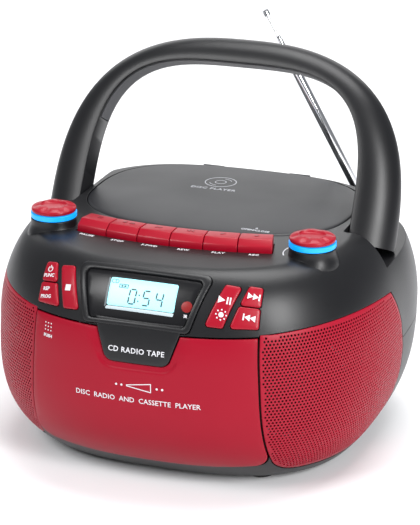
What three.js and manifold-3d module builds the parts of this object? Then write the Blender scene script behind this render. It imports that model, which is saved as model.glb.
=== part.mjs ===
// Portable stereo with a CD player under the top lid, a cassette deck behind the front door, a radio
// and a swinging carrying handle. Millimetres, +Z up, front facing -Y, origin on the ground under the
// middle of the housing.
import * as THREE from 'three';
import { mergeVertices } from 'three/addons/utils/BufferGeometryUtils.js';
import Module from 'manifold-3d';

const wasm = await Module();
wasm.setup();

// ---- Driving dimensions ----
// Housing
const BODY_HALF_WIDTH = 126.5;
const FRONT_REACH = 128.5;         // from the widest section to the front
const REAR_REACH = 119.5;          // from the widest section to the rear
const GIRTH_Z = 80;                // height of the widest section
const TOP_Z = 139;
const BASE_Z = 4;                  // underside, above the feet
const TOP_SHARE = 0.758;           // flat top outline against the girth outline
const BASE_SHARE_X = 0.78;         // outline at the ground against the girth outline
const BASE_SHARE_Y = 0.676;
const BASE_CURVE = 3.05;           // how late the sides curve in towards the base
const SHOULDER_CURVE = 1.93;
const FRONT_CORNER = 2.4;          // plan outline exponents: front, rear, and at the ground
const REAR_CORNER = 3.0;
const BASE_CORNER = 2.79;
const WALL = 2.5;
const SEAM_Z = 70;                 // joint between upper and base housing
const FRONT_STRIP_Z = 11.2;        // top of the dark strip under door and grilles
const FIT_GAP = 0.4;               // between neighbouring covers
const CONTACT_GAP = 0.3;           // between pieces that rest on each other
// Front
const DOOR_TOP_Z = TOP_Z - 33.5;
const DOOR_BOTTOM_Z = 15.4;
const DOOR_TOP_HALF = 70;
const DOOR_BOTTOM_HALF = 74.5;
const DOOR_CORNER = 10;
const DOOR_PROUD = 0.8;
const DOOR_OPEN_DEG = 28;
const GRILLE_TOP_Z = DOOR_TOP_Z + 0.4;
const GRILLE_CROWN = 2.3;            // rise of the grille's upper edge between its ends
const PANEL_LEAN = 33;             // lean of the control panel from upright, degrees
const PANEL_Y = -108;
const PANEL_Z = TOP_Z - 18;
const BEZEL_PROUD = 1.6;
const BUTTON_PROUD = 1.2;
const BUTTON_TRAVEL_ROOM = 3.4;
// Tape
const CASSETTE_WIDTH = 100.4;
const CASSETTE_HEIGHT = 63.8;
const CASSETTE_THICK = 12;
const REEL_SPACING = 42.5;
// Disc
const DISC_DIAMETER = 120;
const LID_HALF_WIDTH = 86.3;
const LID_HALF_DEPTH = 64;
const LID_CENTRE_Y = 33.5;
const LID_CORNER = 2.7;
const LID_THICK = 2.4;
const LID_DOME = 2.6;
// Keys and knobs
const KEY_COUNT = 6;
const KEY_PITCH = 21.3;
const KEY_GAP = 0.5;
const KEY_ROW_X = -2.5;            // middle of the row
const KEY_FRONT_Y = -61;
const KEY_DEPTH = 15.5;
const KEY_ROW_RADIUS = 256;
const KEY_HEIGHT = 6.8;            // above the top of the housing
const KNOB_Y = -46.6;
const KNOB_RADIUS = 13.9;
const RING_RADIUS = 14.3;
const RING_HEIGHT = 3.2;
// The light rings stand clear of the end keys.
const KNOB_X = KEY_COUNT * KEY_PITCH / 2 - KEY_ROW_X + RING_RADIUS + 3.1;
const PEDESTAL_TOP_Z = TOP_Z + 4.8;
const KNOB_HEIGHT = 5.2;
// Handle
const PIVOT_Y = 28;
const PIVOT_Z = TOP_Z - 4.5;
const PIN_RADIUS = 4;
const HANDLE_LEAN = 27;           // back from upright at rest, degrees
const HANDLE_HALF_OUT = 116.2;
const HANDLE_HALF_IN = 90;
const HANDLE_RISE = 110;         // pivot to the top of the arch
const GRIP_THICK = 18;
const LEG_FRONT = 18;              // inner face in front of the pivot line
const LEG_REAR = 12;               // leg behind the pivot line
const RECESS_X = 89.6;
const RECESS_FRONT_Y = -3;
const LEDGE_Z = TOP_Z - 20;
// Antenna
const MAST_X = 67;
const MAST_Y = 117;
const MAST_Z = TOP_Z - 18;
const MAST_LEAN = 29.4;
const TUBE_RADII = [3.3, 2.5, 1.8, 0.8];
const TUBE_BORES = [2.8, 2.1, 1.1, 0];
const TUBE_TOPS = [96, 109, 120.7, 136];
const TUBE_LENGTHS = [90.5, 90, 86, 96];
// Base
const FOOT_X = 59;
const FOOT_FRONT_Y = -66;
const FOOT_REAR_Y = 76;
const FOOT_RADIUS = 8;
const SPEAKER_RADIUS = 36;
const SPEAKER_X = 82;
const SPEAKER_Y = -66;
const SPEAKER_Z = 60;
const SPEAKER_TURN = 42;

const FINE = { around: 52, low: 6, high: 7 };      // resolution of visible skins
const COARSE = { around: 32, low: 4, high: 4 };    // and of hidden faces
const PLAN_Y = (FRONT_REACH - REAR_REACH) / 2;

// ---- Shapes and booleans ----
const rad = (degrees) => degrees * Math.PI / 180;
const v2 = (x, y) => new THREE.Vector2(x, y);

function solidOf(geometry) {
  const bare = geometry.clone();
  bare.deleteAttribute('normal');
  bare.deleteAttribute('uv');
  const merged = mergeVertices(bare, 1e-4);
  return new wasm.Manifold(new wasm.Mesh({
    numProp: 3,
    vertProperties: Float32Array.from(merged.attributes.position.array),
    triVerts: Uint32Array.from(merged.index.array),
  }));
}

function geometryOf(solid) {
  const mesh = solid.getMesh();
  const geometry = new THREE.BufferGeometry();
  geometry.setAttribute('position', new THREE.BufferAttribute(mesh.vertProperties, 3));
  geometry.setIndex(new THREE.BufferAttribute(mesh.triVerts, 1));
  geometry.computeVertexNormals();
  return geometry;
}

const union = (...solids) => solids.reduce((a, b) => a.add(b));
const cut = (solid, ...tools) => tools.reduce((a, b) => a.subtract(b), solid);

function moved(solid, matrix) {
  const geometry = geometryOf(solid);
  geometry.applyMatrix4(matrix);
  if (matrix.determinant() < 0) {
    const index = geometry.index.array;
    for (let i = 0; i < index.length; i += 3) [index[i], index[i + 1]] = [index[i + 1], index[i]];
  }
  return solidOf(geometry);
}

const shifted = (solid, x, y, z) => moved(solid, new THREE.Matrix4().makeTranslation(x, y, z));
const mirrored = (solid) => moved(solid, new THREE.Matrix4().makeScale(-1, 1, 1));
const turnedZ = (solid, degrees) => moved(solid, new THREE.Matrix4().makeRotationZ(rad(degrees)));

function box(x0, x1, y0, y1, z0, z1) {
  const geometry = new THREE.BoxGeometry(x1 - x0, y1 - y0, z1 - z0);
  geometry.translate((x0 + x1) / 2, (y0 + y1) / 2, (z0 + z1) / 2);
  return solidOf(geometry);
}

// A rod along X, Y or Z between two stations of that axis, centred on the other two coordinates.
function rod(axis, radius, from, to, centre, steps = 24, endRadius = radius) {
  const geometry = new THREE.CylinderGeometry(endRadius, radius, to - from, steps);
  geometry.translate(0, (from + to) / 2, 0);
  if (axis === 'x') geometry.rotateZ(-Math.PI / 2);
  if (axis === 'z') geometry.rotateX(Math.PI / 2);
  const [a, b] = centre;
  if (axis === 'x') geometry.translate(0, a, b);
  if (axis === 'y') geometry.translate(a, 0, b);
  if (axis === 'z') geometry.translate(a, b, 0);
  return solidOf(geometry);
}

// An outline extruded along one axis. Outlines hold (y, z) for x, (x, z) for y and (x, y) for z.
function prism(outline, axis, from, to) {
  const geometry = new THREE.ExtrudeGeometry(new THREE.Shape(outline), {
    depth: to - from, bevelEnabled: false,
  });
  geometry.translate(0, 0, from);
  const swap = new THREE.Matrix4();
  if (axis === 'x') swap.set(0, 0, 1, 0, 1, 0, 0, 0, 0, 1, 0, 0, 0, 0, 0, 1);
  if (axis === 'y') {
    geometry.translate(0, 0, -from - to);
    swap.set(1, 0, 0, 0, 0, 0, -1, 0, 0, 1, 0, 0, 0, 0, 0, 1);
  }
  geometry.applyMatrix4(swap);
  return solidOf(geometry);
}

// The same corners with each one rounded by an arc.
function rounded(corners, radius, steps = 4) {
  const outline = [];
  corners.forEach((corner, i) => {
    const before = corners[(i + corners.length - 1) % corners.length];
    const after = corners[(i + 1) % corners.length];
    const back = before.clone().sub(corner).normalize();
    const ahead = after.clone().sub(corner).normalize();
    const half = Math.acos(THREE.MathUtils.clamp(back.dot(ahead), -1, 1)) / 2;
    const r = Array.isArray(radius) ? radius[i] : radius;
    if (r === 0) {
      outline.push(corner.clone());
      return;
    }
    const centre = corner.clone().addScaledVector(back.clone().add(ahead).normalize(), r / Math.sin(half));
    const start = corner.clone().addScaledVector(back, r / Math.tan(half)).sub(centre);
    const end = corner.clone().addScaledVector(ahead, r / Math.tan(half)).sub(centre);
    const turn = Math.atan2(start.cross(end), start.dot(end));
    for (let k = 0; k <= steps; k++) {
      outline.push(start.clone().rotateAround(v2(0, 0), turn * k / steps).add(centre));
    }
  });
  return outline;
}

const rectangle = (x0, x1, y0, y1) => [v2(x0, y0), v2(x1, y0), v2(x1, y1), v2(x0, y1)];

function oval(halfX, halfY, corner, centreX, centreY, steps = 64) {
  const outline = [];
  for (let i = 0; i < steps; i++) {
    const angle = 2 * Math.PI * i / steps;
    const c = Math.cos(angle);
    const s = Math.sin(angle);
    const reach = Math.pow(Math.pow(Math.abs(c) / halfX, corner)
      + Math.pow(Math.abs(s) / halfY, corner), -1 / corner);
    outline.push(v2(centreX + reach * c, centreY + reach * s));
  }
  return outline;
}

// A closed skin over rings of equal length, with both ends capped.
function loft(rings) {
  const count = rings[0].length;
  const position = rings.flat().flatMap((p) => [p.x, p.y, p.z]);
  const index = [];
  for (let r = 0; r + 1 < rings.length; r++) {
    for (let i = 0; i < count; i++) {
      const a = r * count + i;
      const b = r * count + (i + 1) % count;
      index.push(a, b, b + count, a, b + count, a + count);
    }
  }
  [[rings[0], 0, true], [rings.at(-1), (rings.length - 1) * count, false]].forEach(([ring, first, low]) => {
    const middle = position.length / 3;
    const sum = ring.reduce((total, p) => total.add(p), new THREE.Vector3()).divideScalar(count);
    position.push(sum.x, sum.y, sum.z);
    for (let i = 0; i < count; i++) {
      const a = first + i;
      const b = first + (i + 1) % count;
      index.push(...(low ? [middle, b, a] : [middle, a, b]));
    }
  });
  const geometry = new THREE.BufferGeometry();
  geometry.setAttribute('position', new THREE.Float32BufferAttribute(position, 3));
  geometry.setIndex(index);
  return solidOf(geometry);
}

// ---- Housing form ----
// Half width, front reach, rear reach and plan exponents at a height.
function section(z) {
  if (z < GIRTH_Z) {
    const low = (GIRTH_Z - z) / GIRTH_Z;
    const fall = Math.pow(low, BASE_CURVE);
    const shareX = 1 - (1 - BASE_SHARE_X) * fall;
    const shareY = 1 - (1 - BASE_SHARE_Y) * fall;
    return {
      x: BODY_HALF_WIDTH * shareX, front: FRONT_REACH * shareY, rear: REAR_REACH * shareY,
      frontCorner: FRONT_CORNER + (BASE_CORNER - FRONT_CORNER) * low,
      rearCorner: REAR_CORNER + (BASE_CORNER - REAR_CORNER) * low,
    };
  }
  const high = Math.min(1, (z - GIRTH_Z) / (TOP_Z - GIRTH_Z));
  const round = Math.pow(1 - Math.pow(high, SHOULDER_CURVE), 1 / SHOULDER_CURVE);
  const share = TOP_SHARE + (1 - TOP_SHARE) * round;
  return {
    x: BODY_HALF_WIDTH * share, front: FRONT_REACH * share, rear: REAR_REACH * share,
    frontCorner: FRONT_CORNER, rearCorner: REAR_CORNER,
  };
}

// Plan radius from the widest section's centre in one direction, after an inset.
function planPoint(z, angle, inset) {
  const s = section(z);
  const c = Math.cos(angle);
  const n = Math.sin(angle);
  const corner = n < 0 ? s.frontCorner : s.rearCorner;
  const reach = (n < 0 ? s.front : s.rear) - inset;
  const share = Math.pow(Math.abs(c) / (s.x - inset), corner) + Math.pow(Math.abs(n) / reach, corner);
  const r = Math.pow(share, -1 / corner);
  return v2(r * c, PLAN_Y + r * n);
}

// The housing's outer form, shrunk all round by an inset.
function form(inset, detail = COARSE) {
  const heights = [];
  const lowSteps = detail.low;
  const highSteps = detail.high;
  for (let i = 0; i < lowSteps; i++) {
    heights.push([GIRTH_Z + (BASE_Z - GIRTH_Z) * Math.cos(Math.PI / 2 * i / lowSteps), inset]);
  }
  for (let i = 0; i <= highSteps; i++) {
    const rise = Math.pow(Math.sin(Math.PI / 2 * i / highSteps), 2 / SHOULDER_CURVE);
    heights.push([GIRTH_Z + (TOP_Z - GIRTH_Z) * rise, inset]);
  }
  const rings = heights.map(([z]) => {
    const level = z < GIRTH_Z
      ? z + inset * (GIRTH_Z - z) / (GIRTH_Z - BASE_Z)
      : z - inset * (z - GIRTH_Z) / (TOP_Z - GIRTH_Z);
    const ring = [];
    for (let i = 0; i < detail.around; i++) {
      const p = planPoint(z, 2 * Math.PI * i / detail.around, inset);
      ring.push(new THREE.Vector3(p.x, p.y, level));
    }
    return ring;
  });
  return loft(rings);
}

// Front and rear surface Y at a place on the housing.
function surfaceY(x, z, rear = false) {
  const s = section(z);
  const corner = rear ? s.rearCorner : s.frontCorner;
  const reach = rear ? s.rear : s.front;
  const y = reach * Math.pow(1 - Math.pow(Math.abs(x) / s.x, corner), 1 / corner);
  return PLAN_Y + (rear ? y : -y);
}

const FAR = 200;
const outer = form(0, FINE);
const inner = form(WALL);
const shell = outer.subtract(inner);

// ---- Regions of the skin ----
function doorOutline(grow) {
  const sag = 3.5;                 // the bottom edge drops this much from its ends to its middle
  const corners = [
    v2(-DOOR_TOP_HALF - grow, DOOR_TOP_Z + grow),
    v2(-DOOR_BOTTOM_HALF - grow, DOOR_BOTTOM_Z + sag - grow),
    v2(-DOOR_BOTTOM_HALF / 2, DOOR_BOTTOM_Z + sag / 4 - grow),
    v2(0, DOOR_BOTTOM_Z - grow),
    v2(DOOR_BOTTOM_HALF / 2, DOOR_BOTTOM_Z + sag / 4 - grow),
    v2(DOOR_BOTTOM_HALF + grow, DOOR_BOTTOM_Z + sag - grow),
    v2(DOOR_TOP_HALF + grow, DOOR_TOP_Z + grow),
  ];
  return rounded(corners, [0, DOOR_CORNER, 0, 0, 0, DOOR_CORNER, 0], 5);
}

// Side view of a grille: straight along the bottom, curved up the rear, crowned along the top.
function grilleOutline(grow) {
  const apexY = -9;
  const bottom = FRONT_STRIP_Z - grow;
  const outline = [v2(-FAR, bottom), v2(2, bottom)];
  const rear = [[9, 26], [11.5, 45], [10.5, 64], [5, 82], [-3, 97], [apexY, GRILLE_TOP_Z]];
  rear.forEach(([y, z], i) => outline.push(v2(y + grow, i === rear.length - 1 ? z + grow : z)));
  const steps = 5;
  for (let i = 1; i <= steps; i++) {
    const share = i / steps;
    const y = apexY + (-110 - apexY) * share;
    outline.push(v2(y, GRILLE_TOP_Z + grow + 4 * GRILLE_CROWN * share * (1 - share)));
  }
  outline.push(v2(-FAR, GRILLE_TOP_Z + grow));
  return outline;
}

// Front view of a grille: its inner edge runs along the door, and its lower corner is round.
function grilleEdge(grow) {
  const step = DOOR_BOTTOM_HALF - DOOR_TOP_HALF;
  const edge = (z) => DOOR_TOP_HALF + 2 * FIT_GAP - grow
    + step * (DOOR_TOP_Z - z) / (DOOR_TOP_Z - DOOR_BOTTOM_Z);
  const low = FRONT_STRIP_Z - grow;
  return rounded([v2(edge(low), low), v2(FAR, low), v2(FAR, FAR), v2(edge(FAR), FAR)],
    [DOOR_CORNER, 0, 0, 0], 5);
}

const doorSpace = (grow) => prism(doorOutline(grow), 'y', -FAR, -60);
const grilleSpace = (grow, edgeGrow = grow) => prism(grilleOutline(grow), 'x', 0, FAR)
  .intersect(prism(grilleEdge(edgeGrow), 'y', -FAR, FAR));
// The opening in the housing for the door and both grilles.
function frontOpening() {
  const grille = grilleSpace(FIT_GAP, FIT_GAP * 1.4);
  return union(grille, mirrored(grille), doorSpace(FIT_GAP));
}

// ---- Control panel frame: u along X, v up the lean, w out of the panel ----
const panelUp = new THREE.Vector3(0, Math.sin(rad(PANEL_LEAN)), Math.cos(rad(PANEL_LEAN)));
const panelOut = new THREE.Vector3(0, -Math.cos(rad(PANEL_LEAN)), Math.sin(rad(PANEL_LEAN)));
const panelFrame = new THREE.Matrix4().makeBasis(new THREE.Vector3(1, 0, 0), panelUp, panelOut)
  .setPosition(0, PANEL_Y, PANEL_Z);
const panelPrism = (outline, from = -30, to = 30) => moved(prism(outline, 'z', from, to), panelFrame);

function grownOutline(corners, grow) {
  const middle = corners.reduce((sum, p) => sum.add(p), v2(0, 0)).divideScalar(corners.length);
  return corners.map((corner, i) => {
    const before = corners[(i + corners.length - 1) % corners.length];
    const after = corners[(i + 1) % corners.length];
    const a = corner.clone().sub(before).normalize();
    const b = after.clone().sub(corner).normalize();
    const normalA = v2(a.y, -a.x);
    const normalB = v2(b.y, -b.x);
    if (normalA.dot(corner.clone().sub(middle)) < 0) normalA.negate();
    if (normalB.dot(corner.clone().sub(middle)) < 0) normalB.negate();
    const sum = normalA.clone().add(normalB);
    return corner.clone().addScaledVector(sum, grow * 2 / sum.lengthSq());
  });
}

const mirrorOutline = (corners) => corners.map((p) => v2(-p.x, p.y)).reverse();

const BEZEL = [v2(-35, -17.6), v2(31, -17.6), v2(40.5, 18.5), v2(-44.5, 18.5)];
const GLASS = [v2(-32, -14.6), v2(28, -14.6), v2(35.5, 14.6), v2(-39.5, 14.6)];
const SCREEN = rectangle(-23, 21.5, -7.3, 10.5);
const TONGUE = [v2(-19.3, DOOR_TOP_Z - 19), v2(19.3, DOOR_TOP_Z - 19), v2(27.6, DOOR_TOP_Z + 6),
  v2(-27.6, DOOR_TOP_Z + 6)];
const BEZEL_ROUND = 4;

// Button outlines on the right half of the panel: a slanted one by the display, two beyond it.
const INNER_BUTTON = [v2(39.5, -11.5), v2(50, -11), v2(57, 15), v2(47.5, 15)];
const OUTER_LOW = [v2(53.5, -10.5), v2(69.6, -7.6), v2(69, 4.4), v2(57.2, 3.4)];
const OUTER_HIGH = [v2(57.4, 4), v2(69, 5), v2(68.3, 17), v2(60.6, 16.6)];
const BUTTONS = {
  button_play: INNER_BUTTON,
  button_previous: OUTER_LOW,
  button_next: OUTER_HIGH,
  button_stop: mirrorOutline(INNER_BUTTON),
  button_program: mirrorOutline(OUTER_LOW),
  button_function: mirrorOutline(OUTER_HIGH),
};

// ---- Lid, keys, knobs ----
const lidOutline = (grow, steps = 40) => oval(LID_HALF_WIDTH + grow, LID_HALF_DEPTH + grow,
  LID_CORNER, 0, LID_CENTRE_Y, steps);
const LID_REAR_Y = LID_CENTRE_Y + LID_HALF_DEPTH;
const LID_GAP = 0.6;
const LID_HINGE_X = 30;
const LID_HINGE_Y = LID_REAR_Y + 0.6;
const LID_HINGE_Z = TOP_Z - 1.6;

// Front edge of the key row at a key's middle: the row follows an arc.
const ROW_CENTRE_Y = KEY_FRONT_Y + KEY_ROW_RADIUS;
const keyTurn = (i) => (i - (KEY_COUNT - 1) / 2) * KEY_PITCH / KEY_ROW_RADIUS;
const keyX = (i) => KEY_ROW_X + (KEY_ROW_RADIUS - KEY_DEPTH / 2) * Math.sin(keyTurn(i));
const KEY_AXIS_Y = KEY_FRONT_Y + KEY_DEPTH + 3;
const KEY_AXIS_Z = TOP_Z - 10;
const KEY_FRONT_ROOM = 1.9;

// ---- Upper housing ----
function handleRecess(grow) {
  const low = LEDGE_Z - grow;
  const half = box(RECESS_X - grow, FAR, RECESS_FRONT_Y - grow, FAR, low, FAR);
  return half.add(mirrored(half));
}

const CHANNEL_HALF = 76;
const CHANNEL_Y = MAST_Y - 11;
const CHANNEL_Z = MAST_Z - 7;
const antennaChannel = (grow) => box(-CHANNEL_HALF - grow, CHANNEL_HALF + grow, CHANNEL_Y - grow, FAR,
  CHANNEL_Z - grow, FAR);

// The slot that the row of keys comes through, with room in front for the keys to tip.
function keySlot(grow, frontRoom) {
  const end = KEY_COUNT * KEY_PITCH / 2 / KEY_ROW_RADIUS + grow / KEY_ROW_RADIUS;
  const steps = 10;
  const outline = [];
  for (let side = 1; side >= -1; side -= 2) {
    const radius = side > 0 ? KEY_ROW_RADIUS + frontRoom : KEY_ROW_RADIUS - KEY_DEPTH - grow;
    for (let i = 0; i <= steps; i++) {
      const angle = side * end * (2 * i / steps - 1);
      outline.push(v2(KEY_ROW_X + radius * Math.sin(angle), ROW_CENTRE_Y - radius * Math.cos(angle)));
    }
  }
  return prism(outline, 'z', KEY_AXIS_Z - 6, FAR);
}

function upperHousing() {
  const lining = outer.intersect(handleRecess(WALL).add(antennaChannel(WALL)));
  const pedestal = rod('z', RING_RADIUS, TOP_Z - 25, PEDESTAL_TOP_Z, [KNOB_X, KNOB_Y], 28);
  const pedestals = pedestal.add(mirrored(pedestal)).subtract(form(WALL * 1.5));
  const tongueSkin = form(-DOOR_PROUD, FINE).subtract(form(3.1))
    .intersect(prism(TONGUE, 'y', -FAR, -60));
  let body = shell.add(lining).add(pedestals);
  body = body.intersect(box(-FAR, FAR, -FAR, FAR, SEAM_Z + FIT_GAP / 2, FAR));
  body = body.subtract(frontOpening());
  body = body.add(tongueSkin);
  body = cut(body, handleRecess(0), antennaChannel(0), keySlot(FIT_GAP, KEY_FRONT_ROOM),
    prism(lidOutline(LID_GAP), 'z', TOP_Z - 12, FAR), panelPrism(grownOutline(BEZEL, FIT_GAP)));
  Object.values(BUTTONS).forEach((outline) => {
    body = body.subtract(panelPrism(grownOutline(outline, FIT_GAP / 1.5)));
  });
  const post = rod('z', 6.6, 84, MAST_Z - 5.4 - CONTACT_GAP, [MAST_X, MAST_Y], 24);
  body = body.add(post.subtract(inner));
  const hinge = box(LID_HINGE_X - 8, LID_HINGE_X + 8, LID_REAR_Y - 4, LID_HINGE_Y + 3,
    LID_HINGE_Z - 3.4, FAR);
  const shaft = rod('z', 3.4, 0, FAR, [KNOB_X, KNOB_Y], 16);
  const pin = rod('x', PIN_RADIUS + FIT_GAP, 60, FAR, [PIVOT_Y, PIVOT_Z], 20);
  return cut(body, hinge, mirrored(hinge), shaft, mirrored(shaft), pin, mirrored(pin),
    rod('z', 2.6, MAST_Z - 17, FAR, [MAST_X, MAST_Y], 16));
}

// ---- Base housing and what is in it ----
const BATTERY_HALF = 72;
const BATTERY_LOW_Z = 20;
const BATTERY_HIGH_Z = 60;
const BATTERY_SWING_GAP = 4.6;     // behind the battery door, for its edge to swing through
const batteryOutline = (grow) => rounded(rectangle(-BATTERY_HALF - grow, BATTERY_HALF + grow,
  BATTERY_LOW_Z - grow, BATTERY_HIGH_Z + grow), 4, 3);
const INLET_X = 92;
const INLET_Z = 38;
const inletOutline = (grow) => rounded(rectangle(INLET_X - 11 - grow, INLET_X + 11 + grow,
  INLET_Z - 7 - grow, INLET_Z + 7 + grow), 4, 3);

function baseHousing() {
  const body = shell.intersect(box(-FAR, FAR, -FAR, FAR, 0, SEAM_Z - FIT_GAP / 2));
  return cut(body, frontOpening(), doorSweep(),
    prism(batteryOutline(FIT_GAP), 'y', 60, FAR), prism(inletOutline(FIT_GAP), 'y', 60, FAR));
}

// ---- Cassette door ----
const DOOR_HINGE_Z = DOOR_BOTTOM_Z + 1.6;
const DOOR_HINGE_Y = surfaceY(0, DOOR_HINGE_Z) + 4.5;

function doorSkin() {
  const skin = form(-DOOR_PROUD, FINE).subtract(form(WALL - DOOR_PROUD));
  return cut(skin.intersect(doorSpace(0)), prism(grownOutline(TONGUE, FIT_GAP), 'y', -FAR, -60),
    panelPrism(grownOutline(BEZEL, FIT_GAP)));
}

function turnedAboutX(solid, degrees, y, z) {
  const matrix = new THREE.Matrix4().makeTranslation(0, y, z)
    .multiply(new THREE.Matrix4().makeRotationX(rad(degrees)))
    .multiply(new THREE.Matrix4().makeTranslation(0, -y, -z));
  return moved(solid, matrix);
}

// The room that the door's lower edge needs as the door tips open.
function doorSweep() {
  const edge = form(-DOOR_PROUD - FIT_GAP).subtract(form(WALL))
    .intersect(prism(doorOutline(FIT_GAP), 'y', -FAR, -60))
    .intersect(box(-FAR, FAR, -FAR, -60, 0, DOOR_BOTTOM_Z + 10));
  const stops = [7, 14, 21, DOOR_OPEN_DEG + 1];
  return union(...stops.map((angle) => turnedAboutX(edge, angle, DOOR_HINGE_Y, DOOR_HINGE_Z)));
}

const POCKET_FRONT_Y = -98.5;
const POCKET_WALL = 1.5;
const POCKET_LOW_Z = 27;
const POCKET_HIGH_Z = 84;
const POCKET_HALF = CASSETTE_WIDTH / 2 + 1;
const POCKET_BACK_Y = POCKET_FRONT_Y + 2 * POCKET_WALL + CASSETTE_THICK + 1;

function cassetteCarrier() {
  const side = POCKET_HALF + POCKET_WALL;
  const block = box(-side, side, POCKET_FRONT_Y, POCKET_BACK_Y, POCKET_LOW_Z, POCKET_HIGH_Z);
  const room = box(-POCKET_HALF, POCKET_HALF, POCKET_FRONT_Y + POCKET_WALL, POCKET_BACK_Y - POCKET_WALL,
    POCKET_LOW_Z + POCKET_WALL, FAR);
  const hubs = box(-REEL_SPACING, REEL_SPACING, POCKET_BACK_Y - 5, POCKET_BACK_Y + 5, 44, FAR);
  const view = box(-38, 38, POCKET_FRONT_Y - 5, POCKET_FRONT_Y + 5, 48, FAR);
  // Two ribs join the pocket to the back of the door.
  const rib = box(43, 46, -FAR, POCKET_FRONT_Y + 0.5, 34, 78)
    .intersect(form(WALL - DOOR_PROUD + CONTACT_GAP));
  return union(cut(block, room, hubs, view), rib, mirrored(rib));
}

function frontChassis() {
  const layer = form(3.6).subtract(form(5.6));
  const reach = prism(grilleOutline(-4), 'x', -FAR, FAR);
  const speaker = moved(rod('z', SPEAKER_RADIUS - 2, -20, 60, [0, 0], 32), speakerFrame);
  const opening = box(-POCKET_HALF - 3.5, POCKET_HALF + 3.5, -FAR, 0, 19, FAR);
  return cut(layer.intersect(reach).intersect(box(-FAR, FAR, -FAR, FAR, 14, DOOR_TOP_Z - 2.5)), speaker,
    mirrored(speaker), opening.subtract(box(-FAR, FAR, -FAR, FAR, 92, FAR)),
    prism(rectangle(-POCKET_HALF - 3.5, POCKET_HALF + 3.5, 19, 92), 'y', -FAR, 0));
}

// ---- Speakers ----
const speakerFrame = new THREE.Matrix4().makeTranslation(SPEAKER_X, SPEAKER_Y, SPEAKER_Z)
  .multiply(new THREE.Matrix4().makeRotationZ(rad(SPEAKER_TURN)))
  .multiply(new THREE.Matrix4().makeRotationX(Math.PI / 2));

function turnedProfile(profile, steps = 22) {
  const geometry = new THREE.LatheGeometry(profile, steps);
  geometry.rotateX(Math.PI / 2);
  return solidOf(geometry);
}

// Profiles hold (radius, height along the axis); z = 0 is the front face of the rim.
function speakerBasket() {
  const frame = turnedProfile([v2(SPEAKER_RADIUS - 5, 0), v2(SPEAKER_RADIUS, 0), v2(SPEAKER_RADIUS, -2.4),
    v2(SPEAKER_RADIUS - 4.5, -2.4), v2(16, -17), v2(16, -22), v2(21, -22), v2(21, -33), v2(0, -33),
    v2(0, -21), v2(8, -21), v2(8, -17), v2(14, -15.6), v2(SPEAKER_RADIUS - 5, -1.6),
    v2(SPEAKER_RADIUS - 5, 0)].reverse());
  return moved(frame, speakerFrame);
}

function speakerCone() {
  const skin = turnedProfile([v2(0, -11), v2(7, -12.6), v2(8, -14.4), v2(13.4, -14.4),
    v2(SPEAKER_RADIUS - 7.4, -2.4), v2(SPEAKER_RADIUS - 6.4, -0.8), v2(SPEAKER_RADIUS - 7.4, -0.4),
    v2(SPEAKER_RADIUS - 9, -1.4), v2(12, -12.2), v2(8, -11.2), v2(4, -9.4), v2(0, -8.8), v2(0, -11)]);
  return moved(skin, speakerFrame);
}

// ---- Disc drive ----
const DECK_TOP_Z = TOP_Z - 3.6;
const WELL_Z = DECK_TOP_Z - 7;
const DISC_Y = LID_CENTRE_Y + 1.5;
const WELL_RADIUS = DISC_DIAMETER / 2 + 1.8;
const DECK_FLOOR = 2;
const LASER_OUT_X = 23;
const LASER_TRAVEL = 35;

function cdDeck() {
  const plate = prism(lidOutline(-0.8), 'z', DECK_TOP_Z - 2, DECK_TOP_Z);
  const cup = rod('z', WELL_RADIUS + 2, WELL_Z - DECK_FLOOR, DECK_TOP_Z, [0, DISC_Y], 36)
    .intersect(prism(lidOutline(-0.8), 'z', 0, FAR));
  const well = rod('z', WELL_RADIUS, WELL_Z, FAR, [0, DISC_Y], 36)
    .intersect(prism(lidOutline(-2.4), 'z', 0, FAR));
  const slot = box(16, LASER_OUT_X + LASER_TRAVEL + 10, DISC_Y - 10, DISC_Y + 10, 0, FAR);
  const hole = rod('z', 15, 0, FAR, [0, DISC_Y], 32);
  const notch = box(LID_HINGE_X - 9, LID_HINGE_X + 9, LID_REAR_Y - 7, FAR, LID_HINGE_Z - 5, FAR);
  const leg = box(60, 66, -10, -4, TOP_Z - 40, DECK_TOP_Z - 1);
  return cut(plate.add(cup), well, slot, hole, notch, mirrored(notch)).add(leg).add(mirrored(leg));
}

function cdLid() {
  const rings = [];
  // Inset from the edge and rise above the housing's top.
  const levels = [[0, -LID_THICK], [0, 0], [-1.2, 0.7], [-14, 1.6], [-34, 2.3], [-60, LID_DOME]];
  levels.forEach(([grow, rise]) => {
    rings.push(lidOutline(grow).map((p) => new THREE.Vector3(p.x, p.y, TOP_Z + rise)));
  });
  const plate = loft(rings);
  const hollow = prism(lidOutline(-1.8), 'z', TOP_Z - LID_THICK - 1, TOP_Z - 1);
  const boss = rod('z', 17, TOP_Z - 3, TOP_Z, [0, DISC_Y], 32);
  const seat = rod('z', 4.2, TOP_Z - 4, TOP_Z - 0.6, [0, DISC_Y], 20);
  const knuckle = rod('x', 1.5, LID_HINGE_X - 7, LID_HINGE_X + 7, [LID_HINGE_Y, LID_HINGE_Z], 12)
    .add(box(LID_HINGE_X - 7, LID_HINGE_X + 7, LID_REAR_Y - 4, LID_HINGE_Y,
      LID_HINGE_Z - 1, LID_HINGE_Z + 1));
  return union(plate.subtract(hollow), boss, knuckle, mirrored(knuckle)).subtract(seat);
}

function discClamp() {
  const z = TOP_Z - 3 - CONTACT_GAP;
  return rod('z', 14, z - 2, z, [0, DISC_Y], 32).add(rod('z', 3.6, z - 1, z + 2, [0, DISC_Y], 20));
}

function cdSpindle() {
  return union(rod('z', 14, WELL_Z - 1, WELL_Z + 1.2, [0, DISC_Y], 32),
    rod('z', 7.4, WELL_Z, WELL_Z + 3, [0, DISC_Y], 24, 6.6),
    rod('z', 1.5, WELL_Z - 9, WELL_Z, [0, DISC_Y], 12));
}

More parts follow.
